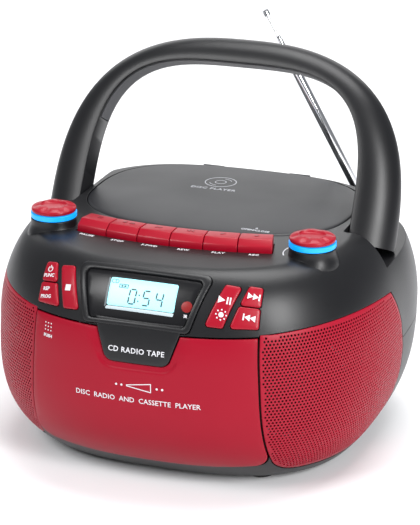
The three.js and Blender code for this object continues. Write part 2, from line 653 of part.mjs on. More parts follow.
function laserSled() {
  const y = DISC_Y;
  const block = box(LASER_OUT_X - 6, LASER_OUT_X + 8, y - 8, y + 8, WELL_Z - 6, WELL_Z - 0.6);
  const lens = rod('z', 3, WELL_Z - 1, WELL_Z + 0.6, [LASER_OUT_X + 1, y], 20);
  return block.add(lens).subtract(rod('x', 1.9, 0, FAR, [y + 5.5, WELL_Z - 4], 12));
}

// ---- Tape drive ----
const PLATE_Y = POCKET_BACK_Y + 4;
const PLATE_THICK = 1.6;
const REEL_Z = POCKET_LOW_Z + POCKET_WALL + CASSETTE_HEIGHT / 2;
const CAPSTAN_X = 33;
const CAPSTAN_Z = REEL_Z + 28;
const HEAD_Z = POCKET_LOW_Z + CASSETTE_HEIGHT + 6;

function tapeChassis() {
  const half = POCKET_HALF + 4;
  const plate = box(-half, half, PLATE_Y, PLATE_Y + PLATE_THICK, 22, 118);
  const tab = box(-half, half, PLATE_Y, PLATE_Y + 9, 22, 24);
  const holes = [-1, 1].map((side) => rod('y', 3, -FAR, FAR, [side * REEL_SPACING / 2, REEL_Z], 16));
  return cut(plate.add(tab), ...holes, rod('y', 2, -FAR, FAR, [CAPSTAN_X, CAPSTAN_Z], 12),
    rod('y', 2, -FAR, FAR, [-38, 98], 12));
}

function reelSpindle(side) {
  const at = [side * REEL_SPACING / 2, REEL_Z];
  let hub = rod('y', 4.1, PLATE_Y - 11, PLATE_Y - 0.6, at, 16)
    .add(rod('y', 2.4, PLATE_Y - 1, PLATE_Y + 8, at, 14));
  for (let i = 0; i < 3; i++) {
    const angle = 120 * i;
    const fin = box(3.4, 5, -0.7, 0.7, 0, 8);
    const stand = turnedZ(fin, angle);
    const matrix = new THREE.Matrix4().makeTranslation(at[0], PLATE_Y - 2, at[1])
      .multiply(new THREE.Matrix4().makeRotationX(Math.PI / 2));
    hub = hub.add(moved(stand, matrix));
  }
  return hub.add(rod('y', 11, PLATE_Y + PLATE_THICK + 0.6, PLATE_Y + PLATE_THICK + 3.2, at, 28));
}

function flywheel() {
  const at = [CAPSTAN_X, CAPSTAN_Z];
  return rod('y', 1.2, PLATE_Y - 17, PLATE_Y + 4, at, 12)
    .add(rod('y', 19, PLATE_Y + 9, PLATE_Y + 14, at, 36))
    .add(rod('y', 4, PLATE_Y + PLATE_THICK + 0.4, PLATE_Y + 10, at, 16));
}

function headPlate() {
  const plate = box(-26, 26, PLATE_Y - 2.6, PLATE_Y - 0.6, HEAD_Z, HEAD_Z + 16);
  const shelf = box(-26, 20, PLATE_Y - 14, PLATE_Y - 1, HEAD_Z, HEAD_Z + 2);
  const head = box(-6, 6, PLATE_Y - 14, PLATE_Y - 3, HEAD_Z - 6, HEAD_Z + 1);
  const eraser = box(-22, -14, PLATE_Y - 12, PLATE_Y - 4, HEAD_Z - 5, HEAD_Z + 1);
  return union(plate, shelf, head, eraser);
}

const tapeMotor = () => rod('y', 15, PLATE_Y + PLATE_THICK + 0.4, PLATE_Y + 26, [-38, 98], 28)
  .add(rod('y', 1.4, PLATE_Y - 2.4, PLATE_Y + 4, [-38, 98], 12));

// ---- Keys ----
function keyFrameMatrix(i) {
  return new THREE.Matrix4().makeTranslation(KEY_ROW_X, ROW_CENTRE_Y, 0)
    .multiply(new THREE.Matrix4().makeRotationZ(keyTurn(i)))
    .multiply(new THREE.Matrix4().makeTranslation(0, -ROW_CENTRE_Y, 0));
}

function tapeKey(i) {
  const half = (KEY_PITCH - KEY_GAP) / 2;
  const front = KEY_FRONT_Y;
  const back = KEY_FRONT_Y + KEY_DEPTH;
  const top = TOP_Z + KEY_HEIGHT;
  const profile = [v2(front, TOP_Z - 4), v2(back, TOP_Z - 4), v2(back, top - 0.6), v2(back - 1.5, top),
    v2(front + 4.6, top), v2(front + 0.5, top - 3.4), v2(front, top - 5)];
  // The sides point at the centre of the row's arc.
  const backHalf = half * (1 - KEY_DEPTH / KEY_ROW_RADIUS);
  const wedge = prism([v2(-half, front), v2(half, front), v2(backHalf, back), v2(-backHalf, back)],
    'z', 0, FAR);
  const cap = prism(profile, 'x', -half, half).intersect(wedge);
  const arm = prism([v2(back - 8, TOP_Z - 2), v2(back - 8, TOP_Z - 7), v2(KEY_AXIS_Y - 2, KEY_AXIS_Z - 2),
    v2(KEY_AXIS_Y + 2, KEY_AXIS_Z + 1), v2(back - 1, TOP_Z - 2)], 'x', -2.5, 2.5);
  const hub = rod('x', 3, -5, 5, [KEY_AXIS_Y, KEY_AXIS_Z], 16);
  const bore = rod('x', 1.8, -20, 20, [KEY_AXIS_Y, KEY_AXIS_Z], 14);
  const body = moved(cap, keyFrameMatrix(i));
  const lever = shifted(union(arm, hub), keyX(i), 0, 0).subtract(shifted(bore, keyX(i), 0, 0));
  return body.add(lever);
}

function keyShaft() {
  const half = KEY_COUNT * KEY_PITCH / 2 + 1;
  return rod('x', 1.4, KEY_ROW_X - half, KEY_ROW_X + half, [KEY_AXIS_Y, KEY_AXIS_Z], 14);
}

// ---- Knobs ----
function knob(side) {
  const z0 = PEDESTAL_TOP_Z + RING_HEIGHT + 2 * CONTACT_GAP;
  const cap = turnedProfile([v2(0, z0), v2(KNOB_RADIUS - 1, z0), v2(KNOB_RADIUS, z0 + 1),
    v2(KNOB_RADIUS - 0.4, z0 + 3.6), v2(KNOB_RADIUS - 3.4, z0 + 5.6), v2(8.6, z0 + KNOB_HEIGHT),
    v2(7.2, z0 + KNOB_HEIGHT - 1), v2(5.2, z0 + KNOB_HEIGHT - 1.8), v2(0, z0 + KNOB_HEIGHT - 2)], 28);
  const shaft = rod('z', 3, PEDESTAL_TOP_Z - 18, z0 + 1, [0, 0], 16);
  return shifted(cap.add(shaft), side * KNOB_X, KNOB_Y, 0);
}

function lightRing(side) {
  const z = PEDESTAL_TOP_Z + CONTACT_GAP;
  const ring = rod('z', RING_RADIUS, z, z + RING_HEIGHT, [side * KNOB_X, KNOB_Y], 28);
  return ring.subtract(rod('z', 10, 0, FAR, [side * KNOB_X, KNOB_Y], 24));
}

// ---- Handle: an arch in a plane that leans back about the pivot ----
const handleFrame = new THREE.Matrix4().makeTranslation(0, PIVOT_Y, PIVOT_Z)
  .multiply(new THREE.Matrix4().makeRotationX(rad(-HANDLE_LEAN)));
const ARCH_OUT_CURVE = 2.63;
const ARCH_IN_CURVE = 3.55;
const CROWN_BACK = 1;              // crown of the outer face, behind the plane of the arch
const INNER_BACK = 3;              // rear edge of the inner face
const LEG_LOW = 10;                // the arch curves start this far below the pivot line

// Half widths of the arch at stations from one foot over the top to the other.
function archPoint(share, out) {
  const angle = Math.PI * share;
  const c = Math.cos(angle);
  const s = Math.sin(angle);
  const halfX = out ? HANDLE_HALF_OUT : HANDLE_HALF_IN;
  const rise = (out ? HANDLE_RISE : HANDLE_RISE - GRIP_THICK) + LEG_LOW;
  const curve = out ? ARCH_OUT_CURVE : ARCH_IN_CURVE;
  const reach = Math.pow(Math.pow(Math.abs(c) / halfX, curve) + Math.pow(s / rise, curve), -1 / curve);
  return v2(reach * c, reach * s - LEG_LOW);
}

// A section between the inner and outer arch: flat inside, round from the inner front edge over the
// crown to the rear, and sloped back to the inner face.
function shellRing(a, b, slim) {
  const across = b.clone().sub(a);
  const front = LEG_FRONT - 4.5 * slim;
  const rear = LEG_REAR - 2.5 * slim;
  const at = (share, y) => {
    const p = a.clone().addScaledVector(across, share);
    return new THREE.Vector3(p.x, y, p.y);
  };
  const ring = [at(0, -front), at(0, INNER_BACK), at(0.42, rear)];
  const steps = 7;
  for (let k = 1; k <= steps; k++) {
    const angle = Math.PI / 2 * (1 - 2 * k / (steps + 1));
    const reach = angle > 0 ? rear - CROWN_BACK : front + CROWN_BACK;
    const low = angle > 0 ? 0.42 : 0;
    ring.push(at(low + (1 - low) * Math.cos(angle), CROWN_BACK + reach * Math.sin(angle)));
  }
  return ring;
}

// The grip stands this share of the arch's depth out of its inner face.
const PROUD = 0.02;

// A plain rectangular section along the inner face, for the groove and the grip that fills it.
function stripRing(a, b, slim, trim, depth) {
  const across = b.clone().sub(a);
  const front = LEG_FRONT - 4.5 * slim - trim;
  return [[-PROUD, -front], [-PROUD, FAR], [depth, FAR], [depth, -front]].map(([share, y]) => {
    const p = a.clone().addScaledVector(across, share);
    return new THREE.Vector3(p.x, Math.min(y, INNER_BACK - trim), p.y);
  });
}

function handleArch(ringAt) {
  const rings = [];
  const steps = 26;
  const foot = PIVOT_Z - LEDGE_Z;
  for (let i = 0; i <= steps; i++) {
    const share = i / steps;
    rings.push(ringAt(archPoint(share, false), archPoint(share, true), Math.sin(Math.PI * share)));
  }
  const drop = (ring) => ring.map((p) => new THREE.Vector3(p.x, p.y, -foot - 8));
  return loft([drop(rings[0]), ...rings, drop(rings.at(-1))].reverse());
}

const GRIP_LOW = 48;               // the grip starts this far above the pivot
const GRIP_TRIM = 2.2;             // shell left in front of the grip
const gripStrip = (gap) => handleArch((a, b, slim) => stripRing(a, b, slim, GRIP_TRIM + gap, 0.24 - gap / 20))
  .intersect(box(-FAR, FAR, -FAR, FAR, GRIP_LOW + gap, FAR));

function handleShell() {
  const keep = PIVOT_Z - LEDGE_Z - CONTACT_GAP;
  const lean = rad(HANDLE_LEAN);
  // The foot is an arc about the pivot. In front of it the foot follows the ledge as it lies with
  // the handle upright, behind it the foot is cut square to the legs.
  const round = rod('x', keep, -FAR, FAR, [PIVOT_Y, PIVOT_Z], 36);
  const touch = v2(PIVOT_Y - keep * Math.sin(lean), PIVOT_Z - keep * Math.cos(lean));
  const ahead = prism([v2(PIVOT_Y, PIVOT_Z), v2(PIVOT_Y, FAR * 2), v2(-FAR, FAR * 2),
    v2(-FAR, touch.y + (touch.x + FAR) * Math.tan(lean)), touch], 'x', -FAR, FAR);
  const behind = prism([v2(PIVOT_Y - 1, PIVOT_Z), v2(FAR, PIVOT_Z - (FAR - PIVOT_Y) * Math.tan(lean)),
    v2(FAR, FAR * 2), v2(PIVOT_Y - 1, FAR * 2)], 'x', -FAR, FAR);
  const pin = rod('x', PIN_RADIUS + CONTACT_GAP, 0, RECESS_X + 14, [PIVOT_Y, PIVOT_Z], 20);
  const leaned = moved(handleArch(shellRing).subtract(gripStrip(0)), handleFrame);
  return cut(leaned.intersect(union(round, ahead, behind)), pin, mirrored(pin));
}

const handleGrip = () => moved(gripStrip(CONTACT_GAP), handleFrame);

function handlePivot(side) {
  const pin = rod('x', PIN_RADIUS, RECESS_X - WALL, RECESS_X + 13.5, [PIVOT_Y, PIVOT_Z], 16);
  return side > 0 ? pin : mirrored(pin);
}

// ---- Antenna ----
const mastFrame = new THREE.Matrix4().makeTranslation(MAST_X, MAST_Y, MAST_Z)
  .multiply(new THREE.Matrix4().makeRotationY(rad(-MAST_LEAN)));
const TANG = 1.7;

function antennaTube(i) {
  const top = TUBE_TOPS[i];
  const low = top - TUBE_LENGTHS[i];
  let tube = rod('z', TUBE_RADII[i], low, top, [0, 0], 16);
  if (TUBE_BORES[i] > 0) {
    tube = tube.subtract(rod('z', TUBE_BORES[i], i === 0 ? low + 3 : low - 1, top + 1, [0, 0], 16));
  } else {
    tube = tube.add(rod('z', 2.3, top - 1, top + 4, [0, 0], 16, 2.1));
  }
  if (i === 0) {
    const tang = box(-3, 3, -TANG, TANG, 0, low + 1).add(rod('y', 3, -TANG, TANG, [0, 0], 20));
    tube = tube.add(tang).subtract(rod('y', 1.5, -10, 10, [0, 0], 14));
  }
  return moved(tube, mastFrame);
}

function antennaKnuckle() {
  const base = rod('z', 5.6, MAST_Z - 5.4, MAST_Z - 3.6, [MAST_X, MAST_Y], 24);
  const stem = rod('z', 2.2, MAST_Z - 16, MAST_Z - 4, [MAST_X, MAST_Y], 14);
  const cheeks = [-1, 1].map((side) => {
    const y = MAST_Y + side * (TANG + CONTACT_GAP + 0.8);
    return box(MAST_X - 3, MAST_X + 3, y - 0.8, y + 0.8, MAST_Z - 4, MAST_Z)
      .add(rod('y', 3, y - 0.8, y + 0.8, [MAST_X, MAST_Z], 20));
  });
  const pin = rod('y', 1.1, MAST_Y - TANG - 1.5, MAST_Y + TANG + 1.5, [MAST_X, MAST_Z], 14);
  return union(base, stem, ...cheeks, pin);
}

// ---- Small inner parts ----
function batteryDoor() {
  return shell.intersect(prism(batteryOutline(0), 'y', 60, FAR));
}

function batteryBay() {
  const block = box(-BATTERY_HALF + 2, BATTERY_HALF - 2, 52, 96, BATTERY_LOW_Z - 1, BATTERY_HIGH_Z + 1);
  const room = box(-BATTERY_HALF + 4, BATTERY_HALF - 4, 54, FAR, BATTERY_LOW_Z + 1, BATTERY_HIGH_Z - 1);
  return block.subtract(room).intersect(form(WALL + BATTERY_SWING_GAP));
}

function acInlet() {
  const face = surfaceY(INLET_X + 11, INLET_Z, true) - 2.5;
  const body = prism(inletOutline(-0.2), 'y', face - 22, face);
  const socket = prism(rounded(rectangle(INLET_X - 7, INLET_X + 7, INLET_Z - 3.8, INLET_Z + 3.8), 3.6, 4),
    'y', face - 14, FAR);
  const pins = [-1, 1].map((side) => rod('y', 1.2, face - 15, face - 3, [INLET_X + side * 3.6, INLET_Z], 10));
  return union(body.subtract(socket), ...pins);
}

function transformer() {
  const core = box(-52, -8, 6, 42, BASE_Z + WALL + CONTACT_GAP, 42);
  const coil = box(-44, -16, -1, 49, 12, 37);
  return core.add(coil);
}

function mainBoard() {
  const z = 92;
  const board = box(-70, 70, -14, 88, z, z + 1.6);
  const parts = [box(20, 36, 20, 36, z + 1, z + 4), box(-50, -40, 10, 20, z + 1, z + 12),
    box(-20, -6, 50, 62, z + 1, z + 6), rod('z', 5, z + 1, z + 14, [50, 60], 16),
    rod('z', 4, z + 1, z + 12, [36, 64], 16)];
  return union(board, ...parts);
}

function foot(x, y) {
  return rod('z', FOOT_RADIUS, 0, BASE_Z - CONTACT_GAP, [x, y], 28, FOOT_RADIUS + 1);
}

// ---- Display ----
function displayBezel() {
  const skin = form(-BEZEL_PROUD, FINE).subtract(form(WALL));
  return cut(skin.intersect(panelPrism(rounded(BEZEL, BEZEL_ROUND, 4))), panelPrism(GLASS));
}

function displayWindow() {
  return form(0.6, FINE).subtract(form(2.2)).intersect(panelPrism(grownOutline(GLASS, -0.3)));
}

function lcdModule() {
  const plate = panelPrism(grownOutline(SCREEN, 2), -13, -8);
  return plate.intersect(form(3.2));
}

function panelButton(outline) {
  return form(-BUTTON_PROUD, FINE).subtract(form(WALL)).intersect(panelPrism(rounded(outline, 1.6, 3)));
}

// ---- Finishes ----
const finish = (color, roughness, metalness = 0) => new THREE.MeshStandardMaterial({
  color, roughness, metalness,
});
const blackPlastic = finish(0x1b1c1f, 0.42);
const greyPlastic = finish(0x3a3b40, 0.45);
const redPlastic = finish(0xa0122c, 0.28);
const redMetal = finish(0xb01830, 0.4, 0.3);
const ringLight = finish(0x12b0ff, 0.35);
const clearDark = finish(0x101113, 0.08);
const screenGlass = finish(0x9fe6ef, 0.3);
const steel = finish(0xb9bcc0, 0.25, 1);
const chrome = finish(0xd5d7da, 0.12, 1);
const paper = finish(0x26221f, 0.85);
const board = finish(0x1d5a34, 0.5);
const rubber = finish(0x1a1a1a, 0.9);

// ---- Assembly ----
const group = new THREE.Group();
function add(name, solid, material) {
  const mesh = new THREE.Mesh(geometryOf(solid), material);
  mesh.name = name;
  group.add(mesh);
}

add('base_housing', baseHousing(), blackPlastic);
add('upper_housing', upperHousing(), blackPlastic);
add('front_chassis', frontChassis(), blackPlastic);
const grilleRight = shell.intersect(grilleSpace(0));
add('grille_right', grilleRight, redMetal);
add('grille_left', mirrored(grilleRight), redMetal);
add('display_bezel', displayBezel(), greyPlastic);
add('display_window', displayWindow(), clearDark);
add('lcd_module', lcdModule(), screenGlass);
add('cd_deck', cdDeck(), greyPlastic);
add('cd_lid', cdLid(), greyPlastic);
add('disc_clamp', discClamp(), blackPlastic);
add('cd_spindle', cdSpindle(), blackPlastic);
add('laser_sled', laserSled(), blackPlastic);
add('cassette_door', doorSkin(), redPlastic);
add('cassette_carrier', cassetteCarrier(), blackPlastic);
add('tape_chassis', tapeChassis(), steel);
add('reel_spindle_left', reelSpindle(-1), blackPlastic);
add('reel_spindle_right', reelSpindle(1), blackPlastic);
add('capstan_flywheel', flywheel(), steel);
add('head_plate', headPlate(), steel);
add('tape_motor', tapeMotor(), steel);
['pause', 'stop', 'forward', 'rewind', 'play', 'record'].forEach((label, i) => {
  add(`key_${label}`, tapeKey(i), redPlastic);
});
add('key_shaft', keyShaft(), steel);
[['left', -1, 'tuning_knob'], ['right', 1, 'volume_knob']].forEach(([name, side, knobName]) => {
  add(`light_ring_${name}`, lightRing(side), ringLight);
  add(knobName, knob(side), redPlastic);
  add(`handle_pivot_${name}`, handlePivot(side), steel);
  const turn = (solid) => (side > 0 ? solid : mirrored(solid));
  add(`speaker_${name}`, turn(speakerBasket()), steel);
  add(`speaker_cone_${name}`, turn(speakerCone()), paper);
});
Object.entries(BUTTONS).forEach(([name, outline]) => add(name, panelButton(outline), redPlastic));
add('handle_shell', handleShell(), blackPlastic);
add('handle_grip', handleGrip(), greyPlastic);
add('antenna_knuckle', antennaKnuckle(), chrome);
['antenna_tube_1', 'antenna_tube_2', 'antenna_tube_3', 'antenna_rod'].forEach((name, i) => {
  add(name, antennaTube(i), chrome);
});
add('battery_door', batteryDoor(), blackPlastic);
add('battery_bay', batteryBay(), blackPlastic);
add('ac_inlet', acInlet(), blackPlastic);
add('transformer', transformer(), steel);
add('main_board', mainBoard(), board);
[['front_left', -1, FOOT_FRONT_Y], ['front_right', 1, FOOT_FRONT_Y], ['rear_left', -1, FOOT_REAR_Y],
  ['rear_right', 1, FOOT_REAR_Y]].forEach(([name, side, y]) => {
  add(`foot_${name}`, foot(side * FOOT_X, y), rubber);
});

export default group;
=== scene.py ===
from math import acos, atan2, ceil, cos, dist, pi, radians, sin, tan

import bmesh
import bpy
import numpy as np
from mathutils import Matrix, Vector
from mathutils.geometry import delaunay_2d_cdt


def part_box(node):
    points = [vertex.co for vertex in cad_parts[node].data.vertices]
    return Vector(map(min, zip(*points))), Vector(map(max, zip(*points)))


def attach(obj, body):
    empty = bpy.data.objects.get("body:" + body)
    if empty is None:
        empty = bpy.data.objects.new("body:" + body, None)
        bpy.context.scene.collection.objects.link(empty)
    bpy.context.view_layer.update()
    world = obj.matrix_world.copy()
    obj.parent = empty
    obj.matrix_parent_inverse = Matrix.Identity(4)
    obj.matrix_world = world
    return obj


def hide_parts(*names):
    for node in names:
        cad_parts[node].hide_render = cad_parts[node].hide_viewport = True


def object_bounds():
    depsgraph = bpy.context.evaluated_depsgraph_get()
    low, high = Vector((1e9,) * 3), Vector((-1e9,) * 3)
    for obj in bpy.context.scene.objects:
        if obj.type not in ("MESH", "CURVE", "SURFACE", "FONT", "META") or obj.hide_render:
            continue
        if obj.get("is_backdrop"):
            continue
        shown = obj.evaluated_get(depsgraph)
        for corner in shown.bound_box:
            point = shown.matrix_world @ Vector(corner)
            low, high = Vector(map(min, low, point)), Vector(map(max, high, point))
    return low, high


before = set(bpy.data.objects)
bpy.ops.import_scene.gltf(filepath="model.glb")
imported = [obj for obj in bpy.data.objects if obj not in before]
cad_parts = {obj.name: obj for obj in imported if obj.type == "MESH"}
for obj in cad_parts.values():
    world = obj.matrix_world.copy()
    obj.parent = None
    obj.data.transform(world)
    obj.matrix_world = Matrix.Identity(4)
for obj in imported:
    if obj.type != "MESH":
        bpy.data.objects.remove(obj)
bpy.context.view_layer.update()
MM = 0.001

# ---------------------------------------------------------------- housing form (mm)
PLAN_Y = 4.5
GIRTH_Z, TOP_Z, BASE_Z = 80.0, 139.0, 4.0
HALF_X, FRONT, REAR = 126.5, 128.5, 119.5
FRONT_CORNER, REAR_CORNER = 2.4, 3.0
BASE_CURVE, DOME_CURVE = 3.05, 1.93
SHOULDER, DOME = 0.758, 0.242
WALL = 2.5
FAR = 200


def section(z):
    """Half width, reach to the front and to the rear, and the two corner exponents at a height."""
    if z < GIRTH_Z:
        low = (GIRTH_Z - z) / GIRTH_Z
        fall = low ** BASE_CURVE
        sx, sy = 1 - 0.22 * fall, 1 - 0.324 * fall
        return HALF_X * sx, FRONT * sy, REAR * sy, FRONT_CORNER + 0.39 * low, REAR_CORNER - 0.21 * low
    high = min(1.0, (z - GIRTH_Z) / (TOP_Z - GIRTH_Z))
    share = SHOULDER + DOME * (1 - high ** DOME_CURVE) ** (1 / DOME_CURVE)
    return HALF_X * share, FRONT * share, REAR * share, FRONT_CORNER, REAR_CORNER


def plan(z, angle, inset=0.0):
    hx, front, rear, fc, rc = section(z)
    c, s = cos(angle), sin(angle)
    corner = fc if s < 0 else rc
    reach = (front if s < 0 else rear) - inset
    r = ((abs(c) / (hx - inset)) ** corner + (abs(s) / reach) ** corner) ** (-1 / corner)
    return r * c, PLAN_Y + r * s


def front_y(x, z, rear=False):
    hx, front, back, fc, rc = section(z)
    corner, reach = (rc, back) if rear else (fc, -front)
    return PLAN_Y + reach * max(0.0, 1 - (abs(x) / hx) ** corner) ** (1 / corner)


def on_front(x, z, h, rear=False):
    """A place at a height over the front skin, or over the rear one."""
    e = 0.5
    p = Vector((x, front_y(x, z, rear), z))
    dx = Vector((2 * e, front_y(x + e, z, rear) - front_y(x - e, z, rear), 0))
    dz = Vector((0, front_y(x, z + e, rear) - front_y(x, z - e, rear), 2 * e))
    n = dx.cross(dz).normalized()
    return p + n * (-h if rear else h)


def on_rear(x, z, h):
    return on_front(x, z, h, True)


LEAN = radians(33)
P_UP = Vector((0, sin(LEAN), cos(LEAN)))
P_OUT = Vector((0, -cos(LEAN), sin(LEAN)))
P_AT = Vector((0, -108, 121))
SLOPE_TOP = 137.5


def on_panel(u, v, h):
    """A place over the control panel: u across and v up on a leaning plane, carried out to the skin."""
    base = P_AT + Vector((u, 0, 0)) + P_UP * v
    lo, hi = -30.0, 30.0
    for _ in range(26):
        mid = (lo + hi) / 2
        q = base + P_OUT * mid
        if q.z < TOP_Z and q.y > front_y(q.x, q.z) and abs(q.x) < section(q.z)[0]:
            lo = mid
        else:
            hi = mid
    q = base + P_OUT * lo
    z = min(q.z, SLOPE_TOP)
    return q + (on_front(q.x, z, 1) - on_front(q.x, z, 0)) * h


# ---------------------------------------------------------------- mesh helpers
def sharpen(bm, degrees):
    limit = radians(degrees)
    for f in bm.faces:
        f.smooth = True
    for e in bm.edges:
        e.smooth = len(e.link_faces) == 2 and e.calc_face_angle(9) < limit


def make(name, bm, body, mat, sharp=32, weld=1e-6, fix=True):
    if weld:
        bmesh.ops.remove_doubles(bm, verts=bm.verts, dist=weld)
    if fix:
        bmesh.ops.recalc_face_normals(bm, faces=bm.faces)
    sharpen(bm, sharp)
    mesh = bpy.data.meshes.new(name)
    bm.to_mesh(mesh)
    bm.free()
    obj = bpy.data.objects.new(name, mesh)
    bpy.context.scene.collection.objects.link(obj)
    mesh.materials.append(mat)
    if body:
        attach(obj, body)
    return obj


def skin_rows(bm, a, b):
    """Faces between two closed rows of points."""
    for i in range(len(a)):
        j = (i + 1) % len(a)
        bm.faces.new((a[i], a[j], b[j], b[i]))


def grid_bm(rings, close_ends=True):
    """Skin over rings of points in mm, as metres."""
    bm = bmesh.new()
    rows = [[bm.verts.new(Vector(p) * MM) for p in ring] for ring in rings]
    for a, b in zip(rows, rows[1:]):
        skin_rows(bm, a, b)
    if close_ends:
        bm.faces.new(list(reversed(rows[0])))
        bm.faces.new(rows[-1])
    return bm


def lathe_bm(profile, steps=96, wave=None):
    """Turned about Z; profile holds (radius, height). A radius of 0 closes the end."""
    rings = []
    for r, z in profile:
        ring = []
        for i in range(steps):
            a = 2 * pi * i / steps
            rr, zz = wave(r, z, a) if wave else (r, z)
            ring.append((max(rr, 1e-4) * cos(a), max(rr, 1e-4) * sin(a), zz))
        rings.append(ring)
    return grid_bm(rings, True)


def place(bm, matrix):
    bm.transform(matrix)
    return bm


def at(x, y, z):
    return Matrix.Translation(Vector((x, y, z)) * MM)


def rounded(corners, radius, steps=6):
    out = []
    n = len(corners)
    for i, c in enumerate(corners):
        r = radius[i] if isinstance(radius, (list, tuple)) else radius
        c = Vector(c)
        if r <= 0:
            out.append(tuple(c))
            continue
        back = (Vector(corners[i - 1]) - c).normalized()
        ahead = (Vector(corners[(i + 1) % n]) - c).normalized()
        half = acos(max(-1, min(1, back.dot(ahead)))) / 2
        start, end = c + back * (r / tan(half)), c + ahead * (r / tan(half))
        mid = c + (back + ahead).normalized() * (r / sin(half))
        a, b = start - mid, end - mid
        turn = atan2(a.x * b.y - a.y * b.x, a.dot(b))
        for k in range(steps + 1):
            t = turn * k / steps
            out.append((mid.x + a.x * cos(t) - a.y * sin(t),
                        mid.y + a.x * sin(t) + a.y * cos(t)))
    return out


def circle(r, z, steps):
    return [(r * cos(2 * pi * i / steps), r * sin(2 * pi * i / steps), z) for i in range(steps)]


def poly(n, x, y, r, turn=0.0):
    return [(x + r * cos(2 * pi * k / n + turn), y + r * sin(2 * pi * k / n + turn)) for k in range(n)]


def bar(x, y, w, h):
    return [(x - w / 2, y - h / 2), (x + w / 2, y - h / 2), (x + w / 2, y + h / 2), (x - w / 2, y + h / 2)]


def arrow(x, y, w, h):
    return [(x - w / 2, y - h / 2), (x + w / 2, y), (x - w / 2, y + h / 2)]


def hoop(x, y, r, t, start=0.0, end=2 * pi, steps=24):
    """Short tiles along an arc."""
    out = []
    for k in range(steps):
        a, b = start + (end - start) * k / steps, start + (end - start) * (k + 1) / steps
        out.append([(x + q * cos(w), y + q * sin(w)) for q, w in ((r - t, a), (r, a), (r, b), (r - t, b))])
    return out


def oval(hx, hy, corner, cx, cy, steps=120):
    out = []
    for i in range(steps):
        a = 2 * pi * i / steps
        c, s = cos(a), sin(a)
        r = (abs(c / hx) ** corner + abs(s / hy) ** corner) ** (-1 / corner)
        out.append((cx + r * c, cy + r * s))
    return out


def area2(p):
    return sum(a[0] * b[1] - b[0] * a[1] for a, b in zip(p, p[1:] + p[:1]))


def resample(outline, step):
    out = []
    for a, b in zip(outline, outline[1:] + outline[:1]):
        n = max(1, int(ceil(dist(a, b) / step)))
        out += [(a[0] + (b[0] - a[0]) * k / n, a[1] + (b[1] - a[1]) * k / n) for k in range(n)]
    return out


def inset(outline, d):
    """An outline moved inwards, or outwards for a negative distance."""
    n = len(outline)
    sign = 1 if area2(outline) > 0 else -1
    out = []
    for i in range(n):
        p0, p1, p2 = (Vector(outline[i - 1]), Vector(outline[i]), Vector(outline[(i + 1) % n]))
        a, b = (p1 - p0).normalized(), (p2 - p1).normalized()
        m = Vector((-a.y - b.y, a.x + b.x)) * sign
        if m.length < 1e-6:
            m = Vector((-a.y, a.x)) * sign
        m.normalize()
        k = max(0.35, m.dot(Vector((-a.y, a.x)) * sign))
        out.append(tuple(p1 + m * (d / k)))
    return out


def inside(poly, pts):
    poly = np.array(poly)
    x, y = pts[:, 0], pts[:, 1]
    hit = np.zeros(len(pts), bool)
    for (x0, y0), (x1, y1) in zip(poly, np.roll(poly, -1, 0)):
        if y0 != y1:
            hit ^= ((y0 > y) != (y1 > y)) & (x < (x1 - x0) * (y - y0) / (y1 - y0) + x0)
    return hit


def edge_distance(poly, pts):
    best = np.full(len(pts), 1e9)
    poly = np.array(poly)
    for a, b in zip(poly, np.roll(poly, -1, 0)):
        d = b - a
        t = np.clip(((pts - a) @ d) / max(d @ d, 1e-12), 0, 1)
        best = np.minimum(best, np.hypot(*(pts - a - t[:, None] * d).T))
    return best


def fill(outline, step, lines=(), holes=()):
    """Triangles inside an outline, with an even grid of inner points, extra lines and round holes."""
    pts = [Vector(p) for p in outline]
    n = len(pts)
    edges = [(i, (i + 1) % n) for i in range(n)]
    for line, closed in [(l, False) for l in lines] + [(h, True) for h in holes]:
        first = len(pts)
        pts += [Vector(p) for p in line]
        m = len(line)
        edges += [(first + i, first + (i + 1) % m) for i in range(m if closed else m - 1)]
    if step:
        lo, hi = np.min(outline, 0), np.max(outline, 0)
        across, up = (np.arange(lo[k] + step / 2, hi[k], step) for k in (0, 1))
        g = np.stack(np.meshgrid(across, up), -1).reshape(-1, 2)
        g = g[inside(outline, g)]
        if len(g):
            g = g[edge_distance(outline, g) > step * 0.4]
        for line in lines:
            if len(g):
                g = g[edge_distance(line, g) > step * 0.3]
        pts += [Vector(p) for p in g]
    verts, _, faces, _, _, _ = delaunay_2d_cdt(pts, edges, [], 0, 1e-5)
    tri = [f for f in faces if len(f) == 3]
    mid = np.array([[sum(verts[i].x for i in f) / 3, sum(verts[i].y for i in f) / 3] for f in tri])
    keep = inside(outline, mid)
    if holes:
        from_hole = np.zeros(len(mid), bool)
        centres = np.array([np.mean(h, 0) for h in holes])
        radius = dist(holes[0][0], centres[0])
        size = 4.0
        cells = {}
        for k, c in enumerate(centres):
            cells.setdefault((int(c[0] // size), int(c[1] // size)), []).append(k)
        for k, m in enumerate(mid):
            i, j = int(m[0] // size), int(m[1] // size)
            for u in (-1, 0, 1):
                for v in (-1, 0, 1):
                    for c in cells.get((i + u, j + v), ()):
                        if dist(m, centres[c]) < radius * 0.86:
                            from_hole[k] = True
        keep &= ~from_hole
    out = []
    for f, k in zip(tri, keep):
        if k:
            a, b, c = (verts[i] for i in f)
            ccw = (b - a).cross(c - a) > 0
            out.append(tuple(f) if ccw else (f[0], f[2], f[1]))
    return verts, out


